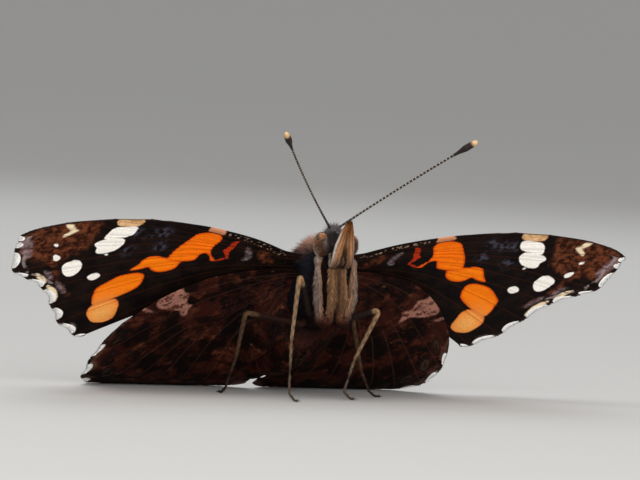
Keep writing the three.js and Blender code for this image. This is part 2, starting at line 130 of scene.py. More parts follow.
class Paint:
    """A material whose colours are laid one over another. Constants of its shader are set by name."""

    def __init__(self, name, **constants):
        self.material = bpy.data.materials.new(name)
        self.material.use_nodes = True
        self.tree = self.material.node_tree
        self.shader = self.tree.nodes["Principled BSDF"]
        self.colour = None
        for key, value in constants.items():
            self.shader.inputs[key.replace("_", " ")].default_value = value

    def node(self, kind, settings, sockets):
        """The outputs of a new node."""
        made = self.tree.nodes.new(kind)
        for key, value in settings.items():
            setattr(made, key, value)
        for key, value in sockets.items():
            self.feed(made.inputs[key], value)
        return made.outputs

    def feed(self, socket, value):
        if isinstance(value, Amount):
            value = value.socket
        if isinstance(value, bpy.types.NodeSocket):
            self.tree.links.new(value, socket)
        elif isinstance(value, tuple) and len(value) == 3 and socket.type == "RGBA":
            socket.default_value = (*value, 1)
        else:
            socket.default_value = value

    def amount(self, kind, settings, sockets, output=0):
        return Amount(self, self.node(kind, settings, sockets)[output])

    def attribute(self, name):
        return self.amount("ShaderNodeAttribute", {"attribute_name": name}, {}, "Fac")

    def mark(self, name, ragged, low, high):
        """1 inside a mark and 0 outside it, with a ragged edge."""
        return (self.attribute(name) + ragged).between(low, high)

    def tint(self):
        return self.node("ShaderNodeAttribute", {"attribute_name": "tint"}, {})["Color"]

    def pattern(self, size):
        """What a texture needs for a pattern about this many millimetres across."""
        return {"Vector": self.node("ShaderNodeTexCoord", {}, {})["Object"], "Scale": 1 / (size * MM)}

    def noise(self, size, detail=2.0, roughness=0.5):
        """Cloudy noise around 0.5."""
        sockets = {**self.pattern(size), "Detail": detail, "Roughness": roughness}
        return self.amount("ShaderNodeTexNoise", {}, sockets)

    def cells(self, size):
        """A random number for each little cell."""
        cell = self.node("ShaderNodeTexVoronoi", {}, self.pattern(size))["Color"]
        return self.amount("ShaderNodeSeparateColor", {}, {"Color": cell})

    def blend(self, share, first, second):
        """The first colour where share is 0 and the second where it is 1."""
        return self.node("ShaderNodeMix", {"data_type": "RGBA"}, {0: share, 6: first, 7: second})[2]

    def layer(self, share, colour):
        """Lays a colour over those laid before, where share is 1."""
        self.colour = self.blend(share, self.colour, colour)

    def scaled(self, colour, amount):
        """A colour made lighter or darker by a number that varies."""
        return self.node("ShaderNodeVectorMath", {"operation": "SCALE"}, {0: colour, "Scale": amount})[0]

    def done(self, relief, depth, strength=0.5):
        """The material with its colour and with small relief, depth millimetres high."""
        sockets = {"Height": relief, "Distance": depth * MM, "Strength": strength}
        self.feed(self.shader.inputs["Base Color"], self.colour)
        self.feed(self.shader.inputs["Normal"], self.node("ShaderNodeBump", {}, sockets)[0])
        return self.material


FLOOR_HALF = 12
FLOOR_FLAT = 3
FLOOR_STEPS = 96
FLOOR_RISE = 0.06
floor_mesh = bmesh.new()
bmesh.ops.create_grid(floor_mesh, x_segments=FLOOR_STEPS, y_segments=FLOOR_STEPS, size=FLOOR_HALF)
for corner in floor_mesh.verts:
    corner.co.z = FLOOR_RISE * max(0, corner.co.length - FLOOR_FLAT) ** 2
floor = bpy.data.objects.new("floor", bpy.data.meshes.new("floor"))
floor_mesh.to_mesh(floor.data)
floor_mesh.free()
bpy.context.collection.objects.link(floor)
floor.data.materials.append(Paint("pale floor", Roughness=0.8, Base_Color=(0.47, 0.465, 0.455, 1)).material)
floor.data.polygons.foreach_set("use_smooth", [True] * len(floor.data.polygons))

# Body
# Head, thorax and abdomen are one skin over plates of hard shell, parted by soft joints, and all of
# it is clothed in hair and scales. The abdomen hangs from the thorax by a waist.
THORAX_FRONT = -1.15
HEAD_REAR = -1.45
THORAX_REAR = 6.2
ABDOMEN_LENGTH = 11.3
ABDOMEN_SEGMENTS = 8
ABDOMEN_LEVELLING = 1.5
ABDOMEN_RADIUS = 1.85
ABDOMEN_START = 1.75
ABDOMEN_TIP = 0.5
ABDOMEN_DEPTH = 1.75
ABDOMEN_GAP = 0.3
ABDOMEN_WIDEST = 0.35
JOINT_NARROWED = 0.975
PLATE_WIDENED = 1.01
THORAX_COAT = 0.35
HEAD_COAT = 0.18
ABDOMEN_COAT = 0.16
FLANK_X = 2.7
HEAD_FLANK = 1.1

head_stations = [
    (-3.55, 0.6, 0.75, 0.9, 0.02), (-3.5, 0.4, 0.7, 1.1, 0.5), (-3.3, 0.05, 0.75, 1.55, 0.9),
    (-2.95, -0.35, 0.85, 2.0, 1.15), (-2.35, -0.5, 0.9, 2.2, 1.25), (-1.8, -0.3, 0.95, 2.1, 1.1),
    (HEAD_REAR, 0.1, 1.0, 1.95, 0.9),
]
thorax_stations = [
    (THORAX_FRONT, -0.25, 1.0, 1.95, 1.0), (-0.8, -1.15, 0.9, 2.5, 1.75), (0.0, -1.9, 0.85, 3.15, 2.5),
    (1.2, -2.25, 0.8, 4.0, 2.95), (2.6, -2.1, 0.8, 4.65, 3.0), (4.0, -1.5, 0.9, 4.8, 2.85),
    (5.2, -0.5, 1.2, 4.3, 2.35), (THORAX_REAR, 0.6, 1.7, 3.1, 1.45),
]


def soft_step(value, low, high):
    """0 below low, 1 above high and a smooth step between them."""
    t = np.clip((value - low) / (high - low), 0, 1)
    return t * t * (3 - 2 * t)


def pitched(pitch, x, behind, below):
    """Points x from the midline, and so far behind and below the wing roots along a pitched line."""
    y = ROOT_Y + behind * np.cos(pitch) - below * np.sin(pitch)
    z = ROOT_HEIGHT - behind * np.sin(pitch) - below * np.cos(pitch)
    return np.stack(np.broadcast_arrays(x, y, z), -1)


def spline(points, share):
    """Places on a smooth curve through points, at shares of its length from 0 to 1."""
    points = np.asarray(points, float)
    last = len(points) - 1
    span = np.clip(share, 0, 1) * last
    first = np.minimum(span.astype(int), last - 1)
    t = (span - first).reshape(-1, *[1] * (points.ndim - 1))
    a, b, c, d = (points[np.clip(first + step, 0, last)] for step in (-1, 0, 1, 2))
    value = b + t * (c - a) / 2
    value = value + t ** 2 * (a - 2.5 * b + 2 * c - 0.5 * d)
    return value + t ** 3 * (1.5 * (b - c) + (d - a) / 2)


def unit(vectors):
    """Vectors made one long."""
    return vectors / np.maximum(np.linalg.norm(vectors, axis=-1, keepdims=True), 1e-9)


def upright(stations, coat):
    """Rings as centre behind and height, pitch, half width, size above and size below the centre."""
    rings = []
    for behind, top, widest, bottom, half in stations:
        centre = pitched(BODY_PITCH, 0.0, behind, widest)
        shrink = min(coat, 0.6 * half)
        sizes = (half - shrink, widest - top - shrink, bottom - widest - shrink)
        rings.append((centre[1], centre[2], BODY_PITCH, *sizes))
    return rings


def abdomen_rings():
    """The abdomen's rings curve down from the thorax, level out and end in a blunt tip."""
    rings = []
    steps = 2 * ABDOMEN_SEGMENTS
    _, behind, height = pitched(BODY_PITCH, 0.0, THORAX_REAR + ABDOMEN_GAP, ABDOMEN_DEPTH)
    for i in range(steps + 1):
        t = i / steps
        front = ABDOMEN_START + (ABDOMEN_RADIUS - ABDOMEN_START) * math.sin(min(1, t / 0.4) * math.pi / 2)
        behind_widest = (t - ABDOMEN_WIDEST) / (1 - ABDOMEN_WIDEST)
        rear = ABDOMEN_TIP + (front - ABDOMEN_TIP) * math.sqrt(max(0, 1 - behind_widest ** 2))
        radius = front if t < ABDOMEN_WIDEST else rear
        radius = radius * (JOINT_NARROWED if i % 2 == 0 else PLATE_WIDENED) - ABDOMEN_COAT
        pitch = BODY_PITCH * (1 - t) ** ABDOMEN_LEVELLING
        rings.append((behind, height, pitch, radius, radius, radius))
        behind += ABDOMEN_LENGTH / steps * math.cos(pitch)
        height -= ABDOMEN_LENGTH / steps * math.sin(pitch)
    rings.append((rings[-1][0] + 0.05, rings[-1][1], 0, 0.02, 0.02, 0.02))
    return rings


abdomen_line = np.array(abdomen_rings())
body_rings = np.concatenate(
    [upright(head_stations, HEAD_COAT), upright(thorax_stations, THORAX_COAT), abdomen_line])
NECK_SHARE = (len(head_stations) - 0.5) / (len(body_rings) - 1)
WAIST_SHARE = (len(head_stations) + len(thorax_stations) - 0.5) / (len(body_rings) - 1)


def body_place(share, angle):
    """Points of the skin, at shares of the way from the face to the tail and at angles round the body."""
    behind, height, pitch, half, above, below = np.moveaxis(spline(body_rings, share), -1, 0)
    boxy = 2 + 0.4 * (1 - soft_step(share, WAIST_SHARE, WAIST_SHARE + 0.05))
    across = np.sign(np.cos(angle)) * np.abs(np.cos(angle)) ** (2 / boxy)
    up = np.sign(np.sin(angle)) * np.abs(np.sin(angle)) ** (2 / boxy)
    rise = up * np.where(up > 0, above, below)
    flank = np.where(share < NECK_SHARE, HEAD_FLANK - 0.1, FLANK_X - THORAX_COAT)
    x = np.clip(across * half, -flank, flank)
    return np.stack([x, behind + rise * np.sin(pitch), height + rise * np.cos(pitch)], -1)


def corners_of(mesh):
    """The places of a mesh's corners."""
    places = np.empty(len(mesh.vertices) * 3)
    mesh.vertices.foreach_get("co", places)
    return places.reshape(-1, 3)


def meshed(name, form):
    """A new mesh with a form's faces, and the places of its corners."""
    mesh = bpy.data.meshes.new(name)
    form.to_mesh(mesh)
    form.free()
    return mesh, corners_of(mesh)


def tinted(mesh, colours):
    """Gives each corner of a mesh its own colour."""
    values = mesh.attributes.new("tint", "FLOAT_COLOR", "POINT").data
    values.foreach_set("color", np.column_stack([colours, np.ones(len(colours))]).ravel())


def riding(mesh):
    """The piece that a mesh makes. It rides on the model's one body."""
    piece = bpy.data.objects.new(mesh.name, mesh)
    bpy.context.collection.objects.link(piece)
    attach(piece, "root")
    return piece


def sheathed(mesh, *paints):
    """The piece that a closed mesh makes, smooth and with all its faces looking outward."""
    mesh.polygons.foreach_set("use_smooth", np.ones(len(mesh.polygons), bool))
    for paint in paints:
        mesh.materials.append(paint)
    form = bmesh.new()
    form.from_mesh(mesh)
    bmesh.ops.recalc_face_normals(form, faces=form.faces)
    form.to_mesh(mesh)
    form.free()
    return riding(mesh)


def hair_paint(name, roughness):
    """Hair and scales, coloured by the tint that each tuft and the skin under it carry."""
    paint = Paint(name, Roughness=roughness, Specular_IOR_Level=0.06)
    grain = paint.noise(0.12, 3)
    paint.colour = paint.scaled(paint.tint(), 0.7 + 0.6 * grain)
    return paint.done(grain, 0.02, 0.4)


fur = hair_paint("body hair", 0.75)


def skinned(name, place, rounds, steps, tints=None, paint=fur):
    """A closed skin: a ball whose circles are carried to the rings of the shape."""
    form = bmesh.new()
    bmesh.ops.create_uvsphere(form, u_segments=rounds, v_segments=steps, radius=1)
    mesh, ball = meshed(name, form)
    share = np.arccos(np.clip(ball[:, 2], -1, 1)) / np.pi
    angle = np.arctan2(ball[:, 1], ball[:, 0])
    points = place(share, angle)
    mesh.vertices.foreach_set("co", (points * MM).ravel())
    if tints:
        tinted(mesh, tints(share, angle, points))
    return sheathed(mesh, paint)


TUFT_SHAPE = [(0, 1.0, -0.4), (0, -1.0, -0.4), (0, 0, 0.8), (0.5, 0.8, -0.3), (0.5, -0.8, -0.3),
              (0.5, 0, 0.6), (1, 0, 0)]
TUFT_FACES = [(0, 1, 2), (1, 0, 3, 4), (2, 1, 4, 5), (0, 2, 5, 3), (4, 3, 6), (5, 4, 6), (3, 5, 6)]
TUFT_PATCH = [(1, -1), (-1, -1), (0, -0.6), (0.8, 0.2), (-0.8, 0.2), (0, 0.3), (0, 1)]
PATCH_SIZE = 0.0015
OFF_FLOOR = 0.01


def tufts(name, roots, aims, outs, lengths, widths, curls, unwrap, colours, paint=fur, side=1):
    """Many thin, pointed, three-sided tufts of hair in one mesh. Each starts at its root, leaves along
    its aim and curls over. On side -1 all of them are mirrored."""
    count = len(roots)
    roots, aims, outs, curls = (vectors * np.array([side, 1, 1]) for vectors in (roots, aims, outs, curls))
    lengths, widths = (np.broadcast_to(sizes, count)[:, None] for sizes in (lengths, widths))
    across = unit(np.cross(aims, outs))
    facing = np.cross(across, aims)
    corners = []
    for along, sideways, outward in TUFT_SHAPE:
        centre = roots + aims * (lengths * along) + curls * (lengths * along ** 2)
        corners.append(centre + across * (widths * sideways) + facing * (widths * outward))
    points = np.stack(corners, 1).reshape(-1, 3)
    points[:, 2] = np.maximum(points[:, 2], OFF_FLOOR)
    loops = np.concatenate([np.array(face) for face in TUFT_FACES])
    sizes = np.tile([len(face) for face in TUFT_FACES], count)
    corner = (loops[None, :] + len(TUFT_SHAPE) * np.arange(count)[:, None]).ravel()
    mesh = bpy.data.meshes.new(name)
    mesh.vertices.add(len(points))
    mesh.vertices.foreach_set("co", (points * MM).ravel())
    mesh.loops.add(len(corner))
    mesh.loops.foreach_set("vertex_index", corner)
    mesh.polygons.add(len(sizes))
    mesh.polygons.foreach_set("loop_start", np.concatenate([[0], np.cumsum(sizes)[:-1]]))
    mesh.polygons.foreach_set("loop_total", sizes)
    mesh.update(calc_edges=True)
    tinted(mesh, np.repeat(np.broadcast_to(colours, (count, 3)), len(TUFT_SHAPE), axis=0))
    spots = (unwrap[:, None, :] + np.array(TUFT_PATCH) * PATCH_SIZE).reshape(-1, 2)
    mesh.uv_layers.new(name="OFBake").data.foreach_set("uv", spots[corner].ravel())
    mesh.materials.append(paint)
    return riding(mesh)


TRIES_PER_HAIR = 12
ROOT_DEPTH = 0.05
SKIN_STEP = 1e-3


def scattered(place, count, draw, low, high):
    """Random shares and angles, spread evenly over the skin between two shares of its length."""
    tries = TRIES_PER_HAIR * count
    share, angle = draw.uniform(low, high, tries), draw.uniform(-np.pi, np.pi, tries)
    here = place(share, angle)
    area = np.linalg.norm(np.cross(place(share + SKIN_STEP, angle) - here,
                                   place(share, angle + SKIN_STEP) - here), axis=1)
    kept = np.flatnonzero(draw.uniform(0, area.max(), len(area)) < area)[:count]
    return share[kept], angle[kept]


def coat(name, place, count, seed, tints, growth, width, low, high, flow=None, stray=0.25):
    """Hair over a skin, between two shares of its length. It lies towards the part's end, or along a
    flow. Its growth is its length and the angle in degrees that lifts it off the skin."""
    draw = np.random.default_rng(seed)
    share, angle = scattered(place, count, draw, low, high)
    root = place(share, angle)
    along = unit(place(share + SKIN_STEP, angle) - place(share - SKIN_STEP, angle))
    around = unit(place(share, angle + SKIN_STEP) - place(share, angle - SKIN_STEP))
    out = unit(np.cross(around, along))
    out *= np.sign(np.sum(out * (root - place(share, angle + np.pi)), axis=1))[:, None]
    hanging = 0
    if flow is not None:
        hanging = 25 * soft_step(np.sum(out * unit(flow), axis=1), 0.4, 1.0)
        along = unit(flow - out * np.sum(out * flow, axis=1)[:, None] + 0.05 * along)
        around = np.cross(out, along)
    length, lift = growth(share, angle, root) if callable(growth) else growth
    lengths = length * draw.uniform(0.65, 1.15, len(root))
    lifts = np.radians(lift + hanging + draw.normal(0, 8, len(root)))
    swing = draw.normal(0, stray, len(root))
    aims = unit(along * np.cos(lifts)[:, None] + out * np.sin(lifts)[:, None] + around * swing[:, None])
    curls = along * 0.12 - out * 0.1
    widths = width * draw.uniform(0.7, 1.2, len(root))
    unwrap = np.column_stack([0.01 + 0.98 * share, 0.5 + 0.49 * angle / np.pi])
    colours = tints(share, angle, root) * draw.uniform(0.65, 1.3, len(root))[:, None]
    return tufts(name, root - out * ROOT_DEPTH, aims, out, lengths, widths, curls, unwrap, colours)


def mixed(share, first, second):
    """Colours from the first where share is 0 to the second where it is 1."""
    return np.asarray(first) * (1 - share[:, None]) + np.asarray(second) * share[:, None]


def collar(share, reach=0.12):
    """1 on the shoulders and 0 from some way behind the neck on."""
    return 1 - soft_step(share, NECK_SHARE + 0.03, NECK_SHARE + reach)


def body_tints(share, angle, _):
    """Pinkish brown on the shoulders, brown on the back, blue-black on the flanks, grey-blue on the face
    and dark brown with paler rings on the abdomen."""
    up = soft_step(np.sin(angle), -0.1, 0.7)
    flank = soft_step(np.abs(np.cos(angle)), 0.6, 0.95)
    back_hair = mixed(collar(share), (0.085, 0.047, 0.034), (0.5, 0.265, 0.19))
    colour = mixed(up, (0.02, 0.011, 0.01), back_hair)
    colour = mixed(flank * 0.85 * (1 - 0.8 * collar(share) * up), colour, (0.012, 0.014, 0.022))
    face = mixed(up, (0.05, 0.04, 0.04), (0.14, 0.118, 0.12))
    colour = mixed(1 - soft_step(share, NECK_SHARE - 0.03, NECK_SHARE + 0.02), colour, face)
    turn = (share - WAIST_SHARE) / (1 - WAIST_SHARE) * ABDOMEN_SEGMENTS
    ring = (0.5 + 0.5 * np.cos(2 * np.pi * turn)) ** 4
    abdomen = mixed(up, (0.042, 0.013, 0.009), (0.022, 0.014, 0.011)) * (0.85 + 0.6 * ring)[:, None]
    return mixed(soft_step(share, WAIST_SHARE, WAIST_SHARE + 0.05), colour, abdomen)


def thorax_growth(share, angle, _):
    """Hair is longer and stands up more on the shoulders, along the back and on the chest."""
    back = soft_step(np.sin(angle), 0.0, 0.6)
    chest = (1 - soft_step(share, NECK_SHARE + 0.1, NECK_SHARE + 0.2)) * soft_step(-np.sin(angle), 0.0, 0.6)
    length = 0.7 + (0.3 + 0.4 * collar(share, 0.14)) * back + 0.25 * chest
    return length, 20 + (12 + 27 * collar(share)) * back + 30 * chest


def head_growth(share, angle, _):
    """Hair is longer and stands up more on the crown and the face."""
    face = 1 - soft_step(share, 0.06, 0.14)
    length = 0.3 + 0.6 * soft_step(np.sin(angle), 0.86, 0.98) + 0.2 * face
    return length, 25 + 35 * np.maximum(soft_step(np.sin(angle), 0.7, 0.95), face)


skin = skinned("body_skin", body_place, 72, 220, body_tints)
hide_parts("thorax", "abdomen", "head")
for part, count, seed, growth, width, low, high, slot in (
    ("thorax", 16000, 3, thorax_growth, 0.028, NECK_SHARE, WAIST_SHARE + 0.01, "body_fur"),
    ("head", 7000, 5, head_growth, 0.02, 0.02, NECK_SHARE, "head_fur"),
    ("abdomen", 15000, 7, (0.45, 13), 0.028, WAIST_SHARE - 0.01, 0.995, "abdomen_fur"),
):
    hair = coat(f"{part}_hair", body_place, count, seed, body_tints, growth, width, low, high)

# Eyes
# The compound eyes are caps of thousands of tiny lenses on the sides of the head, mottled brown. Fine
# hair, pale and brightened further by a painted glow of back light, stands between the lenses, and white
# scales rise round the rear of each eye.
EYE_RADIUS = 1.03
EYE_HEIGHT = 1.12
EYE_BULGE = 0.8
EYE_BACK = -2.4
EYE_STANDS_OUT = 0.29
EYE_BACK_SHARE = 0.6
EYE_BELOW = 1.15
EYE_RIM_SCALES = 1800
EYE_HAIRS = 700


def eye_paint():
    """Brown mottling under tiny, slightly shiny lenses."""
    paint = Paint("eye", Roughness=0.4, Specular_IOR_Level=0.3, Coat_Weight=0.06, Coat_Roughness=0.2)
    lens = paint.cells(0.035)
    mottle = paint.noise(0.34, 3).between(0.42, 0.56)
    colour = paint.blend(mottle, (0.018, 0.006, 0.003), paint.tint())
    paint.colour = paint.scaled(colour, 0.75 + 0.5 * lens)
    return paint.done(lens, 0.01)


def eye_tints(_, angle, __):
    """Amber above and behind, dark brown below and in front."""
    amber = soft_step(0.4 * np.sin(angle) + 0.9 * np.cos(angle), -1.0, 0.3)
    return mixed(amber, (0.05, 0.014, 0.004), (0.34, 0.125, 0.025))


lens_paint = eye_paint()
for hand, side, seed in (("left", 1, 23), ("right", -1, 29)):
    middle = pitched(BODY_PITCH, side * (HEAD_FLANK + EYE_STANDS_OUT), EYE_BACK, EYE_BELOW)

    def eye_place(share, angle, side=side, middle=middle):
        outward = EYE_BULGE * np.cos(share * np.pi)
        around = np.sin(share * np.pi)
        outward = np.where(outward < 0, EYE_BACK_SHARE * outward, outward)
        return middle + np.stack([side * outward, EYE_RADIUS * around * np.cos(angle),
                                  EYE_HEIGHT * around * np.sin(angle)], -1)

    piece = skinned(f"eye_{hand}_lens", eye_place, 48, 40, eye_tints, lens_paint)
    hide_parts(f"eye_{hand}")

    draw = np.random.default_rng(seed)
    turn = draw.uniform(-np.pi, np.pi, EYE_RIM_SCALES)
    ring = np.stack([0 * turn, np.cos(turn), np.sin(turn)], -1)
    out = np.tile([side, 0.0, 0.0], (EYE_RIM_SCALES, 1))
    rear = soft_step(np.cos(turn), 0.0, 0.5)
    sunk = (draw.uniform(0.04, 0.26, EYE_RIM_SCALES) - 0.2 * rear)[:, None]
    reach = np.sqrt(1 - (sunk / EYE_BULGE / EYE_BACK_SHARE) ** 2) + 0.01
    roots = middle + ring * (1, EYE_RADIUS, EYE_HEIGHT) * reach - out * sunk
    aims = unit(out + ring * (0.3 + 2.5 * np.maximum(sunk, 0)) + draw.normal(0, 0.08, roots.shape))
    shade = mixed(rear, (0.05, 0.04, 0.04), (0.7, 0.61, 0.52)) * draw.uniform(0.7, 1.1, (EYE_RIM_SCALES, 1))
    lengths = draw.uniform(0.12, 0.18, EYE_RIM_SCALES) + 0.25 * rear
    unwrap = 0.5 + 0.4 * ring[:, 1:]
    rim = tufts(f"eye_{hand}_rim", roots, aims, ring, lengths, 0.02, -0.2 * ring, unwrap, shade)

    share, angle = scattered(eye_place, EYE_HAIRS, draw, 0.1, 0.28)
    roots = eye_place(share, angle)
    aims = unit(roots - middle)
    unwrap = np.column_stack([share, 0.5 + 0.49 * angle / np.pi])
    lengths = draw.uniform(0.1, 0.2, len(share))
    # Pale hair, tinted brighter than its own colour: a painted glow of back light shining through it.
    hair = tufts(f"eye_{hand}_hair", roots, aims, unit(np.cross(aims, out[0])), lengths, 0.006, 0, unwrap,
                 (0.3, 0.21, 0.14))


def standing(x, behind, height):
    """A joint's place, from its distance behind the wing roots and its height over the floor."""
    return np.array([x, ROOT_Y + behind, height])


BEND_STEPS = 7


def bent_path(joints, bend):
    """Points along straight lines that are rounded at each joint, with the joint number at each."""
    points, numbers = [joints[0]], [0.0]
    for k in range(1, len(joints) - 1):
        before, after = unit(joints[k - 1] - joints[k]), unit(joints[k + 1] - joints[k])
        half = math.acos(np.clip(np.dot(before, after), -1, 1)) / 2
        centre = joints[k] + unit(before + after) * bend / math.sin(half)
        start = joints[k] + before * bend / math.tan(half) - centre
        end = joints[k] + after * bend / math.tan(half) - centre
        sweep = math.pi - 2 * half
        for t in np.linspace(0, 1, BEND_STEPS):
            turned = start * math.sin((1 - t) * sweep) + end * math.sin(t * sweep)
            points.append(centre + turned / math.sin(sweep))
            numbers.append(k - 0.001 + 0.002 * t)
    points.append(joints[-1])
    numbers.append(len(joints) - 1.0)
    return np.array(points), np.array(numbers)


def distances(path):
    """How far along a path each of its points is."""
    return np.append(0, np.cumsum(np.linalg.norm(np.diff(path, axis=0), axis=1)))


def limb_place(points, numbers, size, reference):
    """A tube along a path. Its half sizes follow the number of a place between the joints."""
    reach = distances(points)

    def pick(where):
        return np.stack([np.interp(where, reach, points[:, axis]) for axis in range(3)], -1)

    def place(share, angle):
        at = np.clip(share, 0, 1) * reach[-1]
        near = 0.04
        along = unit(pick(np.minimum(at + near, reach[-1])) - pick(np.maximum(at - near, 0)))
        across = unit(reference - along * np.sum(along * reference, axis=-1, keepdims=True))
        other = np.cross(along, across)
        half = size(np.interp(at, reach, numbers))
        dome = np.minimum(at, reach[-1] - at)
        shrink = np.sqrt(1 - (1 - np.clip(dome / half[0], 0, 1)) ** 2)
        return pick(at) + (across * (half[0] * shrink * np.cos(angle))[:, None]
                           + other * (half[1] * shrink * np.sin(angle))[:, None])

    return place


def steady(values):
    """Half sizes between joints, from their values at the joints."""
    table = np.array(values, float)
    return lambda number: (np.interp(number, range(len(table)), table[:, 0]),
                           np.interp(number, range(len(table)), table[:, 1]))


# Palps and tongue
# Two palps, thickly clad in orange-brown scales with a fringe of pale hair along the outer edge,
# stand before the face. Between them the tongue is rolled up like a watch spring.
palp_joints = [(0.45, -2.6, 14.0), (0.66, -3.05, 12.6), (0.67, -3.75, 13.2), (0.57, -4.05, 14.6),
               (0.39, -4.45, 15.9), (0.16, -4.85, 17.0)]
palp_sizes = [(0.26, 0.22), (0.34, 0.3), (0.43, 0.36), (0.42, 0.34), (0.28, 0.24), (0.1, 0.1)]
TONGUE_TURNS = 3.5
TONGUE_OUTER = 0.55
TONGUE_INNER = 0.12
TONGUE_SAMPLES = 120
TONGUE_PLACE = (-3.5, 13.3)


def palp_tints(share, angle, place):
    """Orange-brown in streaks, greyer at the foot, darker at the tip, pale along the outer edge and with
    painted shade on the lower inner side, where the two palps meet.
    """
    side = np.sign(place[:, 0])
    streak = 0.75 + 0.3 * np.cos(7 * angle + 9 * share * side) + 0.15 * np.cos(15 * angle - 6 * share)
    # Painted shade in the groove between the palps: their inner sides are darkened in the lower part.
    inner = soft_step(-side * np.cos(angle), 0.45, 0.85)
    streak = streak * (1 - 0.7 * inner * (1 - soft_step(share, 0.45, 0.62)))
    streak = streak * (1 - 0.8 * soft_step(share, 0.9, 0.99))
    high = mixed(soft_step(share, 0.6, 0.85), (0.37, 0.18, 0.085), (0.23, 0.085, 0.03))
    rust = mixed(soft_step(share, 0.25, 0.5), (0.2, 0.112, 0.075), high) * streak[:, None]
    outer = soft_step(side * np.cos(angle), 0.75, 0.98) * (1 - soft_step(share, 0.7, 0.9))
    pale = mixed(soft_step(share, 0.25, 0.5), (0.3, 0.235, 0.19), (0.44, 0.39, 0.35))
    return mixed(outer, rust, pale)


def palp_growth(share, angle, root):
    """The scales are longer and stand up more on the inner side."""
    inner = soft_step(-np.sign(root[:, 0]) * np.cos(angle), 0.2, 0.9)
    return (0.36 + 0.2 * inner) * (1 - 0.35 * share), 13 + 14 * inner


for hand, side, seed in (("left", 1, 11), ("right", -1, 13)):
    path, numbers = bent_path([standing(side * x, behind, height) for x, behind, height in palp_joints], 0.3)
    place = limb_place(path, numbers, steady(palp_sizes), (1.0, 0, 0))
    piece = skinned(f"palp_{hand}_skin", place, 24, 80, palp_tints)
    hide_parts(f"palp_{hand}")
    scales = coat(f"palp_{hand}_scales", place, 5500, seed, palp_tints, palp_growth, 0.024, 0.01, 0.98,
                  stray=0.17)

turn = np.linspace(0, TONGUE_TURNS * 2 * np.pi, TONGUE_SAMPLES)
radius = TONGUE_OUTER + (TONGUE_INNER - TONGUE_OUTER) * turn / turn[-1]
behind, height = TONGUE_PLACE
path = standing(0.02 * np.cos(turn), behind - radius * np.cos(turn), height - radius * np.sin(turn)).T
place = limb_place(path, np.arange(float(TONGUE_SAMPLES)), steady([(0.09, 0.055)] * 2), (1.0, 0, 0))
tongue_paint = Paint("tongue", Roughness=0.35)
ribs = tongue_paint.cells(0.05)
tongue_paint.colour = tongue_paint.blend(ribs, (0.03, 0.012, 0.006), (0.11, 0.05, 0.02))
tongue = skinned("tongue", place, 12, 260, paint=tongue_paint.done(ribs, 0.01))

# Antennae
# Each antenna is a stiff, slender rod of some forty joints, dark with a fine white ring at each
# joint, and swells at its end into a black club with a cream tip.
ANTENNA_BASE = (0.71, -2.08, 16.5)
ANTENNA_TIP = (10.22, -10.12, 25.14)
ANTENNA_BOW = (0.08, 0.42, 0.05)
ANTENNA_JOINTS = 42
ANTENNA_SAMPLES = 90
ANTENNA_SUNK = 0.045
antenna_profile = [(0, 0.14), (0.02, 0.17), (0.04, 0.11), (0.3, 0.095), (0.82, 0.1), (0.87, 0.17),
                   (0.92, 0.33), (0.97, 0.3), (1, 0.16)]


def antenna_paint():
    """Black, with a white ring at each joint below the club, and a cream tip."""
    paint = Paint("antenna", Roughness=0.55, Specular_IOR_Level=0.3)
    along = paint.attribute("along")
    ring = along.worked("FRACT", along * ANTENNA_JOINTS).between(0.7, 0.78)
    ring = ring * (1 - along.between(0.8, 0.86)) * (0.35 + 0.65 * along.between(0.05, 0.3))
    ring = ring * paint.noise(0.15, 2).between(0.25, 0.5)
    paint.colour = paint.blend(ring, (0.012, 0.006, 0.004), (0.42, 0.36, 0.3))
    paint.layer(along.between(0.955, 0.985), (0.62, 0.4, 0.2))
    return paint.done(ring, 0.01, 0.4)


stalk_paint = antenna_paint()
for hand, side in (("left", 1), ("right", -1)):
    base, tip, bow = (np.array(point) * (side, 1, 1) for point in (ANTENNA_BASE, ANTENNA_TIP, ANTENNA_BOW))
    base = base - (tip - base) * ANTENNA_SUNK
    share = np.linspace(0, 1, ANTENNA_SAMPLES)[:, None]
    path = base + (tip - base) * share + bow * (4 * share * (1 - share)) + (0, ROOT_Y, 0)
    sizes = np.repeat(np.interp(share, *np.transpose(antenna_profile)), 2, axis=1)
    place = limb_place(path, np.arange(float(ANTENNA_SAMPLES)), steady(sizes), (0, 0, 1.0))
    piece = skinned(f"antenna_{hand}_stalk", place, 16, 400, paint=stalk_paint)
    along = (corners_of(piece.data) / MM - (0, ROOT_Y, 0) - base) @ (tip - base)
    along /= np.dot(tip - base, tip - base)
    piece.data.attributes.new("along", "FLOAT", "POINT").data.foreach_set("value", along)
    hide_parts(f"antenna_{hand}")

# Forelegs
# The front pair of legs is short and useless for walking. Each is folded against the chest like a
# brush, thick with tan and grey hair. Both lean to the right of the body.
foreleg_joints = {
    "left": [(0.46, -2.8, 12.7), (0.49, -3.25, 9.9), (0.24, -3.25, 7.75), (1.02, -3.1, 7.85),
             (1.82, -2.9, 9.9), (1.96, -2.55, 13.1), (1.25, -1.5, 13.6)],
    "right": [(-0.46, -2.8, 12.7), (-0.52, -3.25, 9.7), (-0.82, -3.25, 7.75), (-1.72, -3.1, 7.7),
              (-1.92, -2.9, 9.6), (-1.96, -2.55, 13.1), (-1.25, -1.5, 13.6)],
}
foreleg_sizes = [(0.38, 0.3), (0.39, 0.34), (0.2, 0.25), (0.19, 0.25), (0.28, 0.3), (0.22, 0.22),
                 (0.16, 0.16)]


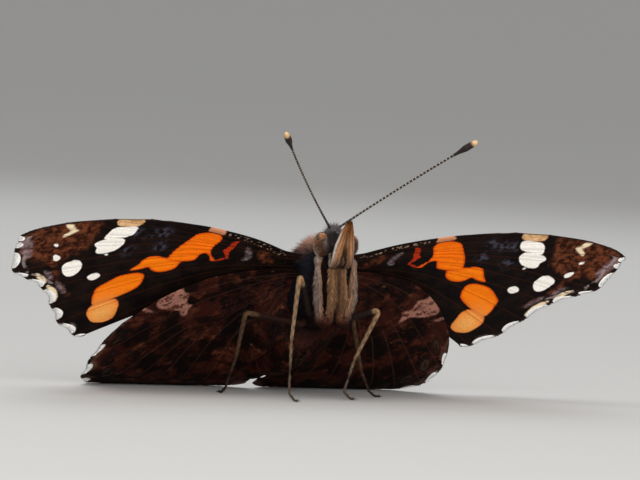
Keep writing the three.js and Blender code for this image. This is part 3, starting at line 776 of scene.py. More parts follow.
def foreleg_tints(share, angle, place):
    """Grey and tan in streaks, with painted shade down the middle where the two forelegs meet, and pinkish
    brown at the foot.
    """
    inward = soft_step(-np.sign(place[:, 0]) * np.cos(angle), -0.3, 0.7)
    outer_limb = mixed(inward, (0.3, 0.225, 0.185), (0.46, 0.255, 0.155))
    # Painted shade: the inner limbs are darker on the sides that face each other across the midline.
    inner_limb = mixed(inward, (0.33, 0.18, 0.09), (0.18, 0.09, 0.05))
    colour = mixed(soft_step(share, 0.4, 0.47), inner_limb, outer_limb)
    height = place[:, 2]
    colour = mixed(1 - soft_step(height, 7.2, 10.0), colour, (0.17, 0.062, 0.04))
    colour = mixed(1 - soft_step(height, 7.7, 8.4), colour, (0.06, 0.018, 0.012))
    streak = 0.8 + 0.25 * np.cos(7 * angle + height) + 0.15 * np.cos(13 * angle - 2 * height)
    return colour * streak[:, None]


def foreleg_growth(_, angle, root):
    """The brush is shorter at the top."""
    return 0.78 - 0.4 * soft_step(root[:, 2], 11.4, 12.9), 13


for hand, seed in (("left", 17), ("right", 19)):
    path, numbers = bent_path([standing(*joint) for joint in foreleg_joints[hand]], 0.42)
    place = limb_place(path, numbers, steady(foreleg_sizes), (1.0, 0, 0))
    piece = skinned(f"foreleg_{hand}_skin", place, 24, 120, foreleg_tints)
    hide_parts(f"foreleg_{hand}")
    brush = coat(f"foreleg_{hand}_hair", place, 11000, seed, foreleg_tints, foreleg_growth, 0.028, 0.01, 0.97,
                 flow=np.array([0, 0.1, -1.0]), stray=0.2)

# Walking legs
# The middle and hind legs carry the insect: a dark thigh, a tan shin with fine spines, a foot of five
# joints and a pair of claws.
FOOT_HEIGHT = 0.15
FOOT_JOINTS = 5
LEG_SPINES = 60
SPINE_LENGTH, SPINE_WIDTH = 0.3, 0.016
CLAW_LENGTH, CLAW_WIDTH = 0.34, 0.035
HIP_REACH = (0.9, 1.0, 0.8)
walking_legs = {
    "mid_leg_left": [(2.1, -1.54, 7.7), (6.2, -0.55, 8.65), (3.9, -0.2, 3.8), (3.0, -0.1, 0.75),
                     (3.35, -0.7, FOOT_HEIGHT), (3.6, -1.15, FOOT_HEIGHT)],
    "mid_leg_right": [(-2.1, -1.75, 8.05), (-4.5, -3.85, 12.0), (-5.2, -4.2, 5.7), (-5.3, -4.45, 0.8),
                      (-5.0, -5.0, FOOT_HEIGHT), (-4.75, -5.4, FOOT_HEIGHT)],
    "hind_leg_left": [(2.1, -0.5, 7.0), (5.5, 3.4, 7.35), (6.9, 3.7, 2.5), (7.8, 3.6, 0.6),
                      (8.4, 3.5, FOOT_HEIGHT), (9.0, 3.4, FOOT_HEIGHT)],
    "hind_leg_right": [(-2.1, -0.6, 7.0), (-7.4, 1.0, 7.9), (-7.3, 2.6, 3.6), (-7.4, 4.2, 0.6),
                       (-7.45, 4.8, FOOT_HEIGHT), (-7.5, 5.4, FOOT_HEIGHT)],
}
leg_sizes = [0.3, 0.24, 0.16, 0.11, 0.1, 0.08]


def foot_joint(number, sharpness):
    """1 at each joint of the foot, 0 between them and above the foot."""
    wave = 0.5 + 0.5 * np.cos(2 * np.pi * FOOT_JOINTS * (number - 2) / 3)
    return wave ** sharpness * soft_step(number, 1.95, 2.05)


def leg_size(number):
    """Half sizes along a leg. The foot's joints narrow it."""
    half = np.interp(number, range(len(leg_sizes)), leg_sizes) * (1 - 0.35 * foot_joint(number, 6))
    return half, half


for seed, (name, joints) in enumerate(walking_legs.items(), 31):
    hip = standing(*joints[0]) + HIP_REACH * np.array([-np.sign(joints[0][0]), 1.0, 1.0])
    path, numbers = bent_path([hip, *(standing(*joint) for joint in joints)], 0.32)
    numbers -= 1
    place = limb_place(path, numbers, leg_size, (0, 1.0, 0))
    reach = distances(path) / distances(path)[-1]
    hind = float(name.startswith("hind"))

    def leg_tints(share, angle, _, reach=reach, numbers=numbers, hind=hind):
        """A dark thigh, a yellowish knee, a tan shin and a brown foot. The hind legs are darkened all over as
        painted shade.
        """
        number = np.interp(share, reach, numbers)
        colour = mixed(soft_step(number, 0.75, 0.95), (0.014, 0.008, 0.006), (0.27, 0.157, 0.08))
        colour = mixed(soft_step(number, 1.0, 1.15), colour, (0.2, 0.125, 0.07))
        colour = mixed(soft_step(number, 1.8, 2.6), colour, (0.09, 0.062, 0.04))
        colour = colour * (0.8 + 0.35 * np.cos(37 * number) * np.cos(2 * angle))[:, None]
        colour = colour * (1 - 0.6 * foot_joint(number, 4))[:, None]
        # Painted shade on the hind legs: they keep a quarter of their colour plus a little dark brown.
        return mixed(np.full(len(share), hind), colour, colour * 0.25 + (0.01, 0.003, 0.002))

    piece = skinned(f"{name}_skin", place, 16, 240, leg_tints)
    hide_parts(name)
    scales = coat(f"{name}_scales", place, 2600, seed, leg_tints, (0.22, 16), 0.02, 0.0, 0.99)

    draw = np.random.default_rng(seed)
    share = np.interp(np.linspace(1.15, 4.8, LEG_SPINES), numbers, reach)
    angle = np.arange(LEG_SPINES) * np.pi * 0.5 + draw.normal(0, 0.2, LEG_SPINES)
    roots = place(share, angle)
    out = unit(roots - place(share, angle + np.pi))
    along = unit(place(share + 2e-3, angle) - place(share - 2e-3, angle))
    claw_side = unit(np.cross(along[-1], [0, 0, 1.0]))
    roots = np.vstack([roots, np.repeat(path[-1:], 2, 0)])
    aims = unit(np.vstack([along + 0.9 * out, along[-1] + 0.5 * claw_side, along[-1] - 0.5 * claw_side]))
    out = np.vstack([out, np.repeat([[0, 0, 1.0]], 2, 0)])
    claw = np.arange(len(roots)) >= LEG_SPINES
    lengths, widths = np.where(claw, CLAW_LENGTH, SPINE_LENGTH), np.where(claw, CLAW_WIDTH, SPINE_WIDTH)
    curls = np.outer(claw, (0, 0, -0.25))
    unwrap = np.column_stack([np.linspace(0.1, 0.9, len(roots)), np.full(len(roots), 0.5)])
    spines = tufts(f"{name}_spines", roots, aims, out, lengths, widths, curls, unwrap, (0.02, 0.02, 0.02))

# Wings
# Each wing is a thin double membrane held stiff by hollow veins, with both faces tiled in minute
# coloured scales and a fringe of longer scales round its margin. It hinges on the thorax's flank.
WING_ROOT_X = 3.0
PLATE = 0.5
MEMBRANE = 0.12
VEIN_RISE = 0.05
VEIN_HALF = 0.1
PLEAT = 0.03
FRINGE = 0.42
ROOT_SINK = 1.5
HINDWING_DROP = 1.04
FLOOR_REACH = 21.3

NO_VEIN = 2

# Lines from a wing's root to its margin: how deep the margin's bay behind the line is, the share of the
# line at which its vein starts, and points, from the midline and behind the roots in millimetres.
forewing_lines = [
    (-0.05, NO_VEIN, [(3, 0.1), (7.65, -1.75), (12.6, -2.95), (15.2, -3.35), (17.6, -3.65)]),
    (-0.05, 0, [(3, 0.3), (12.6, -2.45), (19.6, -3.8)]),
    (-0.12, 0.35, [(3, 0.5), (13.4, -1.95), (23.4, -3.73)]),
    (-0.2, 0, [(3, 0.68), (14.2, -1.55), (28.2, -3.2)]),
    (0.3, 0.5, [(3, 0.84), (14.7, -1.1), (32.58, -1.75)]),
    (0.15, 0.5, [(3, 0.98), (14.9, -0.6), (32.6, 0.1)]),
    (0.3, 0.5, [(3, 1.12), (14.9, 0.1), (31.8, 2.95)]),
    (0.3, 0.5, [(3, 1.26), (14.6, 0.9), (30.0, 4.05)]),
    (0.3, 0.5, [(3, 1.4), (14.2, 1.9), (27.8, 5.45)]),
    (0.3, 0, [(3, 1.55), (13.2, 2.7), (25.85, 8.0)]),
    (0.3, 0.3, [(3, 1.7), (11.6, 3.4), (24.2, 10.3)]),
    (0.1, 0, [(3, 1.9), (9.8, 4.2), (21.8, 12.15)]),
    (0, NO_VEIN, [(3, 2.2), (6.4, 3.6), (9.6, 5.3), (15.4, 8.9), (20.8, 12.35)]),
]
hindwing_lines = [
    (0, NO_VEIN, [(3, 1.0), (6.6, 1.35), (11.2, 2.9), (15.0, 5.9), (17.7, 9.4)]),
    (0.25, 0, [(3, 1.25), (10.9, 4.2), (18.8, 12.0)]),
    (0.3, 0, [(3, 1.5), (10.9, 6.2), (19.3, 14.8)]),
    (0.3, 0.5, [(3, 1.75), (10.9, 8.4), (18.7, 17.8)]),
    (0.3, 0.5, [(3, 2.0), (10.5, 9.6), (17.0, 20.1)]),
    (0.3, 0.5, [(3, 2.25), (9.7, 10.6), (14.6, 21.8)]),
    (0.3, 0, [(3, 2.5), (8.6, 10.9), (11.4, 22.6)]),
    (0.3, 0.3, [(3, 2.75), (7.1, 10.9), (8.1, 22.4)]),
    (0.2, 0, [(3, 3.0), (4.7, 6.8), (5.3, 10.9), (5.3, 16.5), (5.1, 21.8)]),
    (0, NO_VEIN, [(3, 3.25), (3.9, 6.4), (3.9, 10.3), (3.7, 16.0), (3.6, 21.2)]),
    (0, NO_VEIN, [(3, 3.5), (3.1, 5.9), (2.4, 9.3), (2.3, 15.5), (2.4, 20.5)]),
    (0, NO_VEIN, [(2.8, 3.75), (2.1, 5.2), (1.0, 7.6), (1.1, 15.0), (1.4, 19.7)]),
    (0, NO_VEIN, [(2.4, 3.9), (1.3, 4.7), (0.25, 6.3), (0.25, 14.3), (0.5, 18.9)]),
]
MIDLINE_GAP = 0.45
BAY_START = 0.85
INWARD_STEPS = 9


def arch(x, behind):
    """The rise of the arched, slightly twisted wings over a flat plane."""
    out = x - WING_ROOT_X
    return 0.048 * out - 0.062 * out * out / 30 - 0.087 * out * behind / 30


def forewing_place(x, behind):
    return pitched(WING_PITCH, x, behind, -arch(x, behind))


hindwing_fall = ROOT_HEIGHT - HINDWING_DROP * math.cos(WING_PITCH) - PLATE / 2
BEND_RADIUS = (math.sin(WING_PITCH) * FLOOR_REACH - hindwing_fall) / (
    WING_PITCH * math.sin(WING_PITCH) - (1 - math.cos(WING_PITCH)))
STRAIGHT_RUN = FLOOR_REACH - BEND_RADIUS * WING_PITCH
TROUGH_HALF = 5.6
TROUGH_FRONT = 3.0
TROUGH_DEEPEST = 6.0
TROUGH_REAR = 17.2
TROUGH_DEPTH = 5.6
TROUGH_SQUARE = 0.6
SNUG_GAP = 0.25


def trough(x, behind):
    """How far the hindwings fold down beside the abdomen, to pass under it."""
    before = soft_step(behind, TROUGH_FRONT, TROUGH_DEEPEST)
    after = np.clip((behind - TROUGH_DEEPEST) / (TROUGH_REAR - TROUGH_DEEPEST), 0, 1)
    across = 0.5 + 0.5 * np.cos(np.pi * np.clip(x / TROUGH_HALF, -1, 1))
    return TROUGH_DEPTH * before * (1 - after ** 1.3) * across ** TROUGH_SQUARE


def snug_height(x, place):
    """The height that a fold lying snugly against the abdomen's underside would have."""
    behind, *rings = abdomen_line.T[:4]
    centre, pitch, radius = (np.interp(place[..., 1], behind, values) for values in rings)
    radius = radius + ABDOMEN_COAT
    return centre - radius * np.sqrt(np.clip(1 - (x / radius) ** 2, 0, 1)) / np.cos(pitch) - SNUG_GAP


def hindwing_place(x, behind):
    """The hindwing runs straight, bends, and lays its rear edge on the floor."""
    run = np.minimum(behind, STRAIGHT_RUN)
    pitch = WING_PITCH - np.clip((behind - STRAIGHT_RUN) / BEND_RADIUS, 0, WING_PITCH)
    place = pitched(WING_PITCH, x, 0 * behind, HINDWING_DROP)
    place[..., 1] += run * math.cos(WING_PITCH) + BEND_RADIUS * (math.sin(WING_PITCH) - np.sin(pitch))
    place[..., 1] += np.maximum(behind - FLOOR_REACH, 0)
    place[..., 2] -= run * math.sin(WING_PITCH) + BEND_RADIUS * (np.cos(pitch) - math.cos(WING_PITCH))
    flat = soft_step(behind, 12, 20)
    lift = arch(x, behind) * (1 - flat)
    place[..., 1] += lift * np.sin(pitch)
    place[..., 2] += lift * np.cos(pitch) - trough(x, behind)
    place[..., 2] -= (PLATE - MEMBRANE) / 2 * flat
    held = soft_step(behind, 4.5, 6.5) * (1 - soft_step(behind, 13.5, 17)) * (1 - soft_step(x, 1.7, 3.4))
    place[..., 2] += np.maximum(snug_height(x, place) - place[..., 2], 0) * held
    return place


def wing_stations(kind, row, share, fringed):
    """Where row lines from the root and shares along them meet: how far from the midline and behind the
    root. The margin is cut into bays, and back by the fringe between two rows and beyond."""
    bays, _, lines = zip(*kind["lines"])
    place = spline(np.stack([spline(line, share) for line in lines]), row / (len(lines) - 1))
    inward = place[:, -INWARD_STEPS] - place[:, -1]
    inward /= np.linalg.norm(inward, axis=1)[:, None]
    bay = np.array(bays)[np.minimum(row.astype(int), len(lines) - 2)]
    cut = bay * np.sin(np.pi * row) ** 2 + FRINGE * soft_step(row, *fringed)
    place = place + inward[:, None, :] * (cut[:, None] * soft_step(share, BAY_START, 1))[..., None]
    place[..., 0] = np.maximum(place[..., 0], MIDLINE_GAP / 2)
    return place


def vein_distance(kind, row, share, place):
    """Millimetres from each place to the nearest vein."""
    across = np.linalg.norm(np.gradient(place, row, axis=0), axis=2)
    nearest = np.round(row).astype(int)
    gap = np.abs(row - nearest)[:, None] * across
    starts = np.array([start for _, start, _ in kind["lines"]])[nearest]
    gap = gap + 3 * np.clip(starts[:, None] - share[None, :], 0, 1)
    along = np.abs(share - 0.5)[None, :] * np.linalg.norm(np.gradient(place, share, axis=1), axis=2)
    in_cell = (row >= kind["cell"][0]) & (row <= kind["cell"][1])
    return np.where(in_cell[:, None], np.minimum(gap, along + 0.05), gap)


WING_ROWS = 168
WING_STEPS = 120
SLOPE = 0.02


def sheet_normal(kind, x, behind, back=0.0):
    """Which way a wing's sheet faces at a place, from its slopes."""
    sheet = kind["place"]
    return unit(np.cross(sheet(x + SLOPE, behind) - sheet(x - back, behind),
                         sheet(x, behind + SLOPE) - sheet(x, behind - back)))


def wing(name, side, kind):
    """One wing: two flat grids joined round the rim, whose points are carried to their places."""
    form = bmesh.new()
    for level in (0, -1):
        offset = Matrix.Translation((0, 0, level))
        bmesh.ops.create_grid(form, x_segments=WING_ROWS, y_segments=WING_STEPS, size=1, matrix=offset)
    bmesh.ops.bridge_loops(form, edges=[edge for edge in form.edges if edge.is_boundary])
    mesh, flat = meshed(name, form)
    spread = (flat[:, :2] - flat[:, :2].min(0)) / np.ptp(flat[:, :2], axis=0)
    i, j = np.round(spread * (WING_ROWS, WING_STEPS)).astype(int).T
    face = np.where(flat[:, 2] > -0.5, 1.0, -1.0)

    step = np.arange(WING_ROWS + 1) * (len(kind["lines"]) - 1) / WING_ROWS
    row = step - 0.1 * np.sin(2 * np.pi * step)
    share = np.linspace(0, 1, WING_STEPS + 1)
    place = wing_stations(kind, row, share, kind["fringed"])
    vein = vein_distance(kind, row, share, place)
    x, behind = place[..., 0], place[..., 1]
    normal = sheet_normal(kind, x, behind, SLOPE)
    normal *= np.sign(normal[..., 2:])
    flatten = 1 - soft_step(behind, 16, 20.5) * kind["rests"]
    rise = VEIN_RISE * np.exp(-((vein / VEIN_HALF) ** 2)) * flatten
    pleat = PLEAT * np.cos(2 * np.pi * row)[:, None] * soft_step(share, 0.1, 0.5) * flatten
    centre = kind["place"](x, behind) + normal * pleat[..., None]
    centre[..., 0] -= ROOT_SINK * (1 - soft_step(share, 0, 0.1))
    points = centre[i, j] + normal[i, j] * (face * (MEMBRANE / 2 + rise[i, j]))[:, None]
    points[:, 0] *= side
    mesh.vertices.foreach_set("co", (points * MM).ravel())

    for key, amount in {"vein": vein, **kind["marks"](x - WING_ROOT_X, -behind, row)}.items():
        mesh.attributes.new(key, "FLOAT", "POINT").data.foreach_set("value", amount[i, j])
    under = np.ones(len(mesh.polygons), int)
    under[:WING_ROWS * WING_STEPS] = 0
    mesh.polygons.foreach_set("material_index", under)
    return sheathed(mesh, *kind["faces"])


def rounded(outline):
    """A closed outline with its corners rounded."""
    ring = np.asarray([*outline[-2:], *outline, *outline[:2]], float)
    count = len(outline)
    return spline(ring, np.linspace(2, count + 2, 4 * count, endpoint=False) / (len(ring) - 1))


def depth_in(outlines, u, v):
    """Millimetres that each place lies inside the nearest outline, negative outside."""
    deepest = np.full(u.shape, -9.0)
    for outline in outlines:
        ring = rounded(outline)
        near = np.full(u.shape, 9.0)
        inside = np.zeros(u.shape, bool)
        for (au, av), (bu, bv) in zip(ring, np.roll(ring, -1, axis=0)):
            du, dv = bu - au, bv - av
            t = np.clip(((u - au) * du + (v - av) * dv) / max(du * du + dv * dv, 1e-9), 0, 1)
            near = np.minimum(near, np.hypot(u - au - t * du, v - av - t * dv))
            crosses = (av > v) != (bv > v)
            inside ^= crosses & (u < du * (v - av) / (dv if dv else 1e-9) + au)
        deepest = np.maximum(deepest, np.where(inside, near, -near))
    return deepest


def spot(u, v, place, size):
    """A round soft spot: 1 at its middle and 0 from about twice its size on."""
    return np.exp(-((u - place[0]) ** 2 + (v - place[1]) ** 2) / size ** 2)


# Marks of the forewing's underside, as outlines in millimetres: out from the wing root, and forward of it.
red_band = [
    [(11.67, 1.56), (11.26, 2.12), (10.6, 2.4), (9.5, 2.4), (8.6, 2.05), (8.4, 1.45), (8.75, 0.7),
     (8.87, 0.0), (8.52, -0.72), (7.8, -1.4), (8.4, -1.45), (8.7, -0.9), (9.25, -0.42), (9.65, -0.5),
     (9.9, -1.0), (10.2, -1.5), (11.4, -1.7), (12.5, -1.6), (12.95, -1.3), (12.56, 0.09)],
    [(16.25, -3.1), (15.7, -2.21), (15.2, -1.3), (14.3, -1.0), (13.4, -1.15), (11.47, -1.66),
     (11.4, -2.1), (11.75, -2.77), (12.54, -3.2), (13.41, -3.2), (14.04, -2.92), (14.54, -2.6),
     (15.15, -2.94)],
    [(18.8, -5.64), (18.49, -5.15), (17.7, -4.34), (16.93, -3.77), (15.48, -3.35), (14.54, -3.5),
     (14.28, -4.16), (14.37, -5.15), (14.94, -5.9), (15.89, -6.64), (17.1, -7.37), (18.2, -7.85),
     (18.6, -7.2), (18.75, -6.45)],
    [(18.45, -8.91), (18.35, -8.05), (17.32, -7.45), (16.23, -7.0), (15.58, -7.5), (15.34, -8.46),
     (15.31, -9.63), (16.18, -10.28), (17.32, -10.25), (18.04, -9.58)],
]
band_at_costa = [
    [(10.15, 3.05), (8.65, 3.0), (8.35, 2.4), (8.6, 2.2), (9.5, 2.45), (10.2, 2.6)],
]
red_hook = [
    [(6.45, 1.39), (6.9, 1.43), (7.19, 1.12), (7.36, 0.45), (7.66, 0.06), (7.25, -0.45), (7.0, -1.1),
     (7.79, -1.5), (7.9, -1.35), (7.4, -1.0), (6.71, -1.04), (6.9, -0.1), (6.68, 0.42), (6.6, 1.1)],
]
white_marks = [
    [(18.94, 2.89), (17.72, 2.92), (17.7, 2.12), (18.1, 1.6), (19.01, 1.34), (20.5, 1.15), (20.5, 1.91),
     (20.05, 2.63)],
    [(20.5, 1.12), (18.75, 1.32), (18.29, 0.83), (18.46, 0.18), (19.13, -0.47), (20.4, -0.8),
     (20.9, -0.44), (20.85, -0.1), (21.3, 0.4), (21.12, 0.8)],
    [(19.95, -0.71), (19.3, -0.85), (19.3, -1.1), (19.7, -0.98)],
    [(25.56, 0.39), (25.42, 0.67), (25.03, 0.38), (25.18, 0.07)],
    [(25.1, -0.85), (24.65, -0.91), (24.16, -1.32), (24.37, -1.78), (24.83, -1.62), (25.0, -1.22)],
    [(23.53, -2.67), (23.47, -2.2), (22.84, -1.73), (22.13, -1.66), (21.57, -2.23), (21.46, -3.03),
     (21.93, -3.74), (22.51, -3.84), (23.09, -3.47)],
    [(20.33, -4.0), (20.11, -3.6), (19.59, -3.37), (19.05, -3.72), (19.11, -4.1), (19.54, -4.42),
     (20.0, -4.36)],
]
cream_marks = [
    [(25.3, 3.1), (24.45, 3.1), (24.18, 2.61), (23.68, 2.34), (24.1, 1.93), (24.52, 1.59), (25.03, 1.32),
     (25.02, 1.75), (24.6, 2.14), (24.6, 2.37), (25.01, 2.69)],
    [(26.01, -3.31), (25.48, -3.5), (24.75, -4.0), (24.41, -4.71), (24.85, -4.6), (25.7, -3.85)],
    [(24.19, -5.0), (23.4, -5.3), (22.64, -6.1), (22.38, -7.17), (22.76, -7.32), (23.14, -6.4),
     (23.81, -5.7)],
]
tan_marks = [
    [(19.9, 3.95), (17.5, 4.0), (17.63, 3.01), (19.83, 2.98)],
]
lilac_marks = [
    [(25.25, -3.02), (24.59, -3.2), (24.06, -3.75), (23.94, -4.33), (24.38, -4.15), (24.85, -3.6)],
    [(23.43, -4.56), (22.71, -4.85), (22.04, -5.56), (21.91, -6.14), (22.39, -5.95), (22.99, -5.36)],
    [(19.61, -10.3), (18.97, -10.6), (18.68, -10.95), (19.1, -10.9)],
    [(5.44, 0.66), (4.85, 0.42), (4.37, -0.72), (4.73, -1.12), (5.18, -1.08), (5.01, -0.48)],
    [(29.3, 1.2), (28.6, 1.5), (27.9, 0.72), (27.5, -0.37), (27.4, -1.15), (28.03, -1.1), (28.7, -0.4),
     (29.1, 0.5)],
]
brown_areas = [
    [(21.2, 3.7), (25.5, 3.5), (29.9, 1.9), (29.6, -0.6), (28.4, -1.9), (26.2, -1.9), (25.0, -3.0),
     (23.9, -4.6), (21.6, -6.6), (21.4, -5.9), (22.9, -4.4), (23.9, -2.6), (23.4, -1.4), (21.8, -0.4),
     (21.5, 1.4)],
    [(4.19, 0.62), (3.07, 0.27), (2.0, -0.54), (1.5, -1.2), (2.0, -1.6), (2.97, -1.4), (3.9, -0.6)],
]
costal_bristles = [
    [(1.5, 0.4), (5.0, 1.75), (8.2, 2.5), (8.2, 2.2), (5.0, 1.3), (1.5, -0.2)],
]


def margin_marks(u, v, row):
    """Distances from the outer margin and from the middle of each cell between two row lines."""
    rim = np.hypot(u - u[:, -1:], v - v[:, -1:])
    width = np.hypot(np.gradient(u, row, axis=0), np.gradient(v, row, axis=0))
    return rim, (np.mod(row, 1)[:, None] - 0.5) * width


PEARL_DEPTH = 0.42
forewing_white = [(4.25, 0.17), (4.75, 0.17), (5.5, 0.33), (6.5, 0.3), (7.5, 0.36), (8.5, 0.36), (9.5, 0.36),
                  (10.5, 0.36), (11.42, 0.3)]


def pearls(row, rim, white_pieces):
    """Depth inside the white pieces that edge the margin between the veins."""
    depth = np.full(rim.shape, -1.0)
    for middle, half in white_pieces:
        bulge = np.sqrt(np.clip(1 - ((row - middle) / half) ** 2, 0, 1))[:, None]
        depth = np.maximum(depth, np.where(bulge > 0, PEARL_DEPTH * bulge - rim, -1.0))
    return depth


def forewing_marks(u, v, row):
    """Depth inside each kind of mark, in millimetres, and the strength of soft tints."""
    outlines = {
        "band": red_band, "costa": band_at_costa, "hook": red_hook, "white": white_marks,
        "cream": cream_marks, "tan": tan_marks, "lilac": lilac_marks, "brown": brown_areas,
        "bristle": costal_bristles,
    }
    wide = [(16.0, 2.0), (14.6, 2.2), (14.4, 0.3), (17.4, 2.0), (17.4, -0.4)]
    rim, cell = margin_marks(u, v, row)
    lunule_rows = (soft_step(row, 3.6, 4.2) * (1 - soft_step(row, 7.7, 8.2)))[:, None]
    lunule = 0.22 - np.abs(rim - 0.75 - 0.5 * (cell / 1.2) ** 2)
    return {
        **{name: depth_in(marks, u, v) for name, marks in outlines.items()},
        "pale": spot(u, v, (16.8, -9.0), 1.9),
        "deep": spot(u, v, (10.4, 0.8), 2.8),
        "haze": sum(spot(u, v, place, 0.55) for place in wide),
        "margin": rim,
        "lunule": lunule * lunule_rows - 0.3 * (1 - lunule_rows),
        "base": 1 - np.hypot(u, 0.7 * v) / 11,
        "blue": spot(u, v, (27.2, 0.5), 0.8),
        "pearl": pearls(row, rim, forewing_white),
    }


def wing_paint(name, colours, dark=0.82):
    """A wing face: the colours that a function lays, under the fine grain of the scales."""
    paint = Paint(name, Roughness=0.7, Specular_IOR_Level=0.04)
    grain = 0.6 * paint.cells(0.07) + 0.4 * paint.noise(0.35, 3)
    colours(paint)
    paint.colour = paint.scaled(paint.colour, dark + 2 * (1 - dark) * grain)
    return paint.done(grain, 0.02)


def uneven(paint, colour):
    """A colour that is a little lighter in some places than in others."""
    return paint.scaled(colour, 0.86 + 0.3 * paint.noise(0.16, 3))


def forewing_under(paint):
    """Black-brown with an orange-red band, white marks and a brown apex."""
    ragged = (paint.noise(0.22, 3) - 0.5) * 0.22
    cloud = paint.noise(1.6, 4, 0.6)
    paint.colour = paint.blend(cloud.between(0.35, 0.75), (0.0045, 0.003, 0.0028), (0.014, 0.007, 0.005))
    mottle = paint.noise(0.7, 5, 0.7).between(0.4, 0.62)
    brown = paint.blend(mottle, (0.022, 0.006, 0.003), (0.155, 0.044, 0.018))
    paint.layer(paint.mark("brown", (cloud - 0.5) * 1.6, -0.1, 0.7), brown)
    haze = paint.attribute("haze") * paint.noise(0.5, 3).between(0.42, 0.65)
    paint.layer(haze.worked("MINIMUM", haze, 0.5), (0.09, 0.085, 0.125))
    dusting = 0.25 + 0.7 * paint.noise(0.45, 4, 0.7).between(0.42, 0.6)
    paint.layer(paint.mark("lilac", ragged * 1.6, -0.2, 0.25) * dusting, (0.27, 0.19, 0.2))
    paint.layer(paint.mark("hook", ragged * 0.6, -0.06, 0.08), (0.42, 0.028, 0.006))
    paint.layer(paint.mark("cream", ragged, -0.1, 0.12), (0.92, 0.74, 0.5))
    broken = paint.noise(0.9, 2).between(0.4, 0.55) * 0.7
    paint.layer(paint.mark("lunule", ragged, -0.05, 0.1) * broken, (0.34, 0.27, 0.26))
    tan = paint.blend(paint.noise(0.5, 3).between(0.4, 0.6), (0.6, 0.31, 0.13), (0.76, 0.48, 0.26))
    paint.layer(paint.mark("tan", ragged * 0.6, -0.06, 0.1), tan)
    paint.layer(paint.mark("costa", ragged * 0.6, -0.08, 0.1), (0.55, 0.22, 0.11))
    band = paint.attribute("band") + ragged * 0.7
    orange = paint.blend(band.between(0.0, 0.35), (0.72, 0.075, 0.003), (1.0, 0.21, 0.004))
    orange = paint.blend(paint.attribute("deep") * 0.45, orange, (0.85, 0.1, 0.003))
    orange = paint.blend(paint.attribute("pale") * 0.9, orange, (0.95, 0.45, 0.12))
    paint.layer(band.between(-0.04, 0.08), uneven(paint, orange))
    white = paint.mark("white", ragged * 0.55, -0.05, 0.08)
    paint.layer(white, (1.0, 0.95, 0.88))
    vein = (1 - paint.attribute("vein").between(0.03, 0.11)) * (1 - white * 0.9)
    paint.layer(vein * (0.7 - 0.5 * band.between(-0.05, 0.2)), (0.03, 0.008, 0.003))
    dots = paint.mark("bristle", 0, -0.05, 0.1) * paint.cells(0.2).between(0.74, 0.8)
    paint.layer(dots * 0.7, (0.4, 0.25, 0.17))
    paint.layer((1 - paint.attribute("margin").between(0.05, 0.3)) * 0.8, (0.02, 0.011, 0.009))
    paint.layer(paint.mark("pearl", ragged * 0.4, -0.04, 0.06), (1.0, 0.98, 0.95))


def forewing_over(paint):
    """Velvet black with a scarlet band and white marks towards the tip, and warm brown by the body."""
    ragged = (paint.noise(0.22, 3) - 0.5) * 0.22
    cloud = paint.noise(1.6, 4, 0.6)
    paint.colour = paint.blend(cloud.between(0.35, 0.75), (0.004, 0.003, 0.003), (0.011, 0.007, 0.006))
    paint.layer(paint.mark("base", (cloud - 0.5) * 0.5, 0.0, 0.8), (0.05, 0.021, 0.011))
    blue = paint.attribute("blue") * paint.noise(0.4, 3).between(0.4, 0.6)
    paint.layer(blue * 0.6, (0.06, 0.09, 0.28))
    band = paint.attribute("band")
    band = band.worked("MAXIMUM", band, paint.attribute("costa")) + 0.16 + ragged
    red = paint.blend(band.between(0.0, 0.4), (0.5, 0.035, 0.004), (0.86, 0.1, 0.008))
    paint.layer(band.between(-0.04, 0.1), uneven(paint, red))
    white = paint.mark("white", ragged * 0.55 - 0.05, -0.05, 0.08)
    paint.layer(white, (0.86, 0.84, 0.82))
    vein = (1 - paint.attribute("vein").between(0.03, 0.11)) * (1 - white * 0.8)
    paint.layer(vein * (0.6 - 0.35 * band.between(-0.05, 0.3)), (0.02, 0.007, 0.005))


NO_FRINGE = (50, 51)


def wing_hair(name, side, kind, rows, shares, count, seed, face, length, lift, tint):
    """Loose hair over part of a wing's upper face, 1, or lower face, -1. It lies away from the root."""
    draw = np.random.default_rng(seed)
    row = np.sort(draw.uniform(*rows, count))
    grid = np.linspace(*shares, 40)
    place = wing_stations(kind, row, np.append(grid, np.linspace(grid[-1] + 0.01, 1, 9)), NO_FRINGE)
    pick = draw.integers(0, 39, count)
    own = np.arange(count)
    here, ahead = place[own, pick].T, place[own, pick + 1].T
    root = kind["place"](*here)
    out = sheet_normal(kind, *here) * face
    along = unit(kind["place"](*ahead) - root)
    lifts = np.radians(lift + draw.normal(0, 6, count))[:, None]
    aims = along * np.cos(lifts) + out * np.sin(lifts)
    aims = unit(aims + np.cross(out, along) * draw.normal(0, 0.15, (count, 1)))
    colours = np.array(tint) * draw.uniform(0.6, 1.3, (count, 1))
    unwrap = np.column_stack([0.02 + 0.96 * grid[pick], 0.02 + 0.96 * row / len(kind["lines"])])
    return tufts(name, root, aims, out, length * draw.uniform(0.6, 1.15, count), 0.025, -0.15 * out, unwrap,
                 colours, side=side)


fringe_paint = hair_paint("margin scales", 0.6)
FRINGE_SCALES = 2600


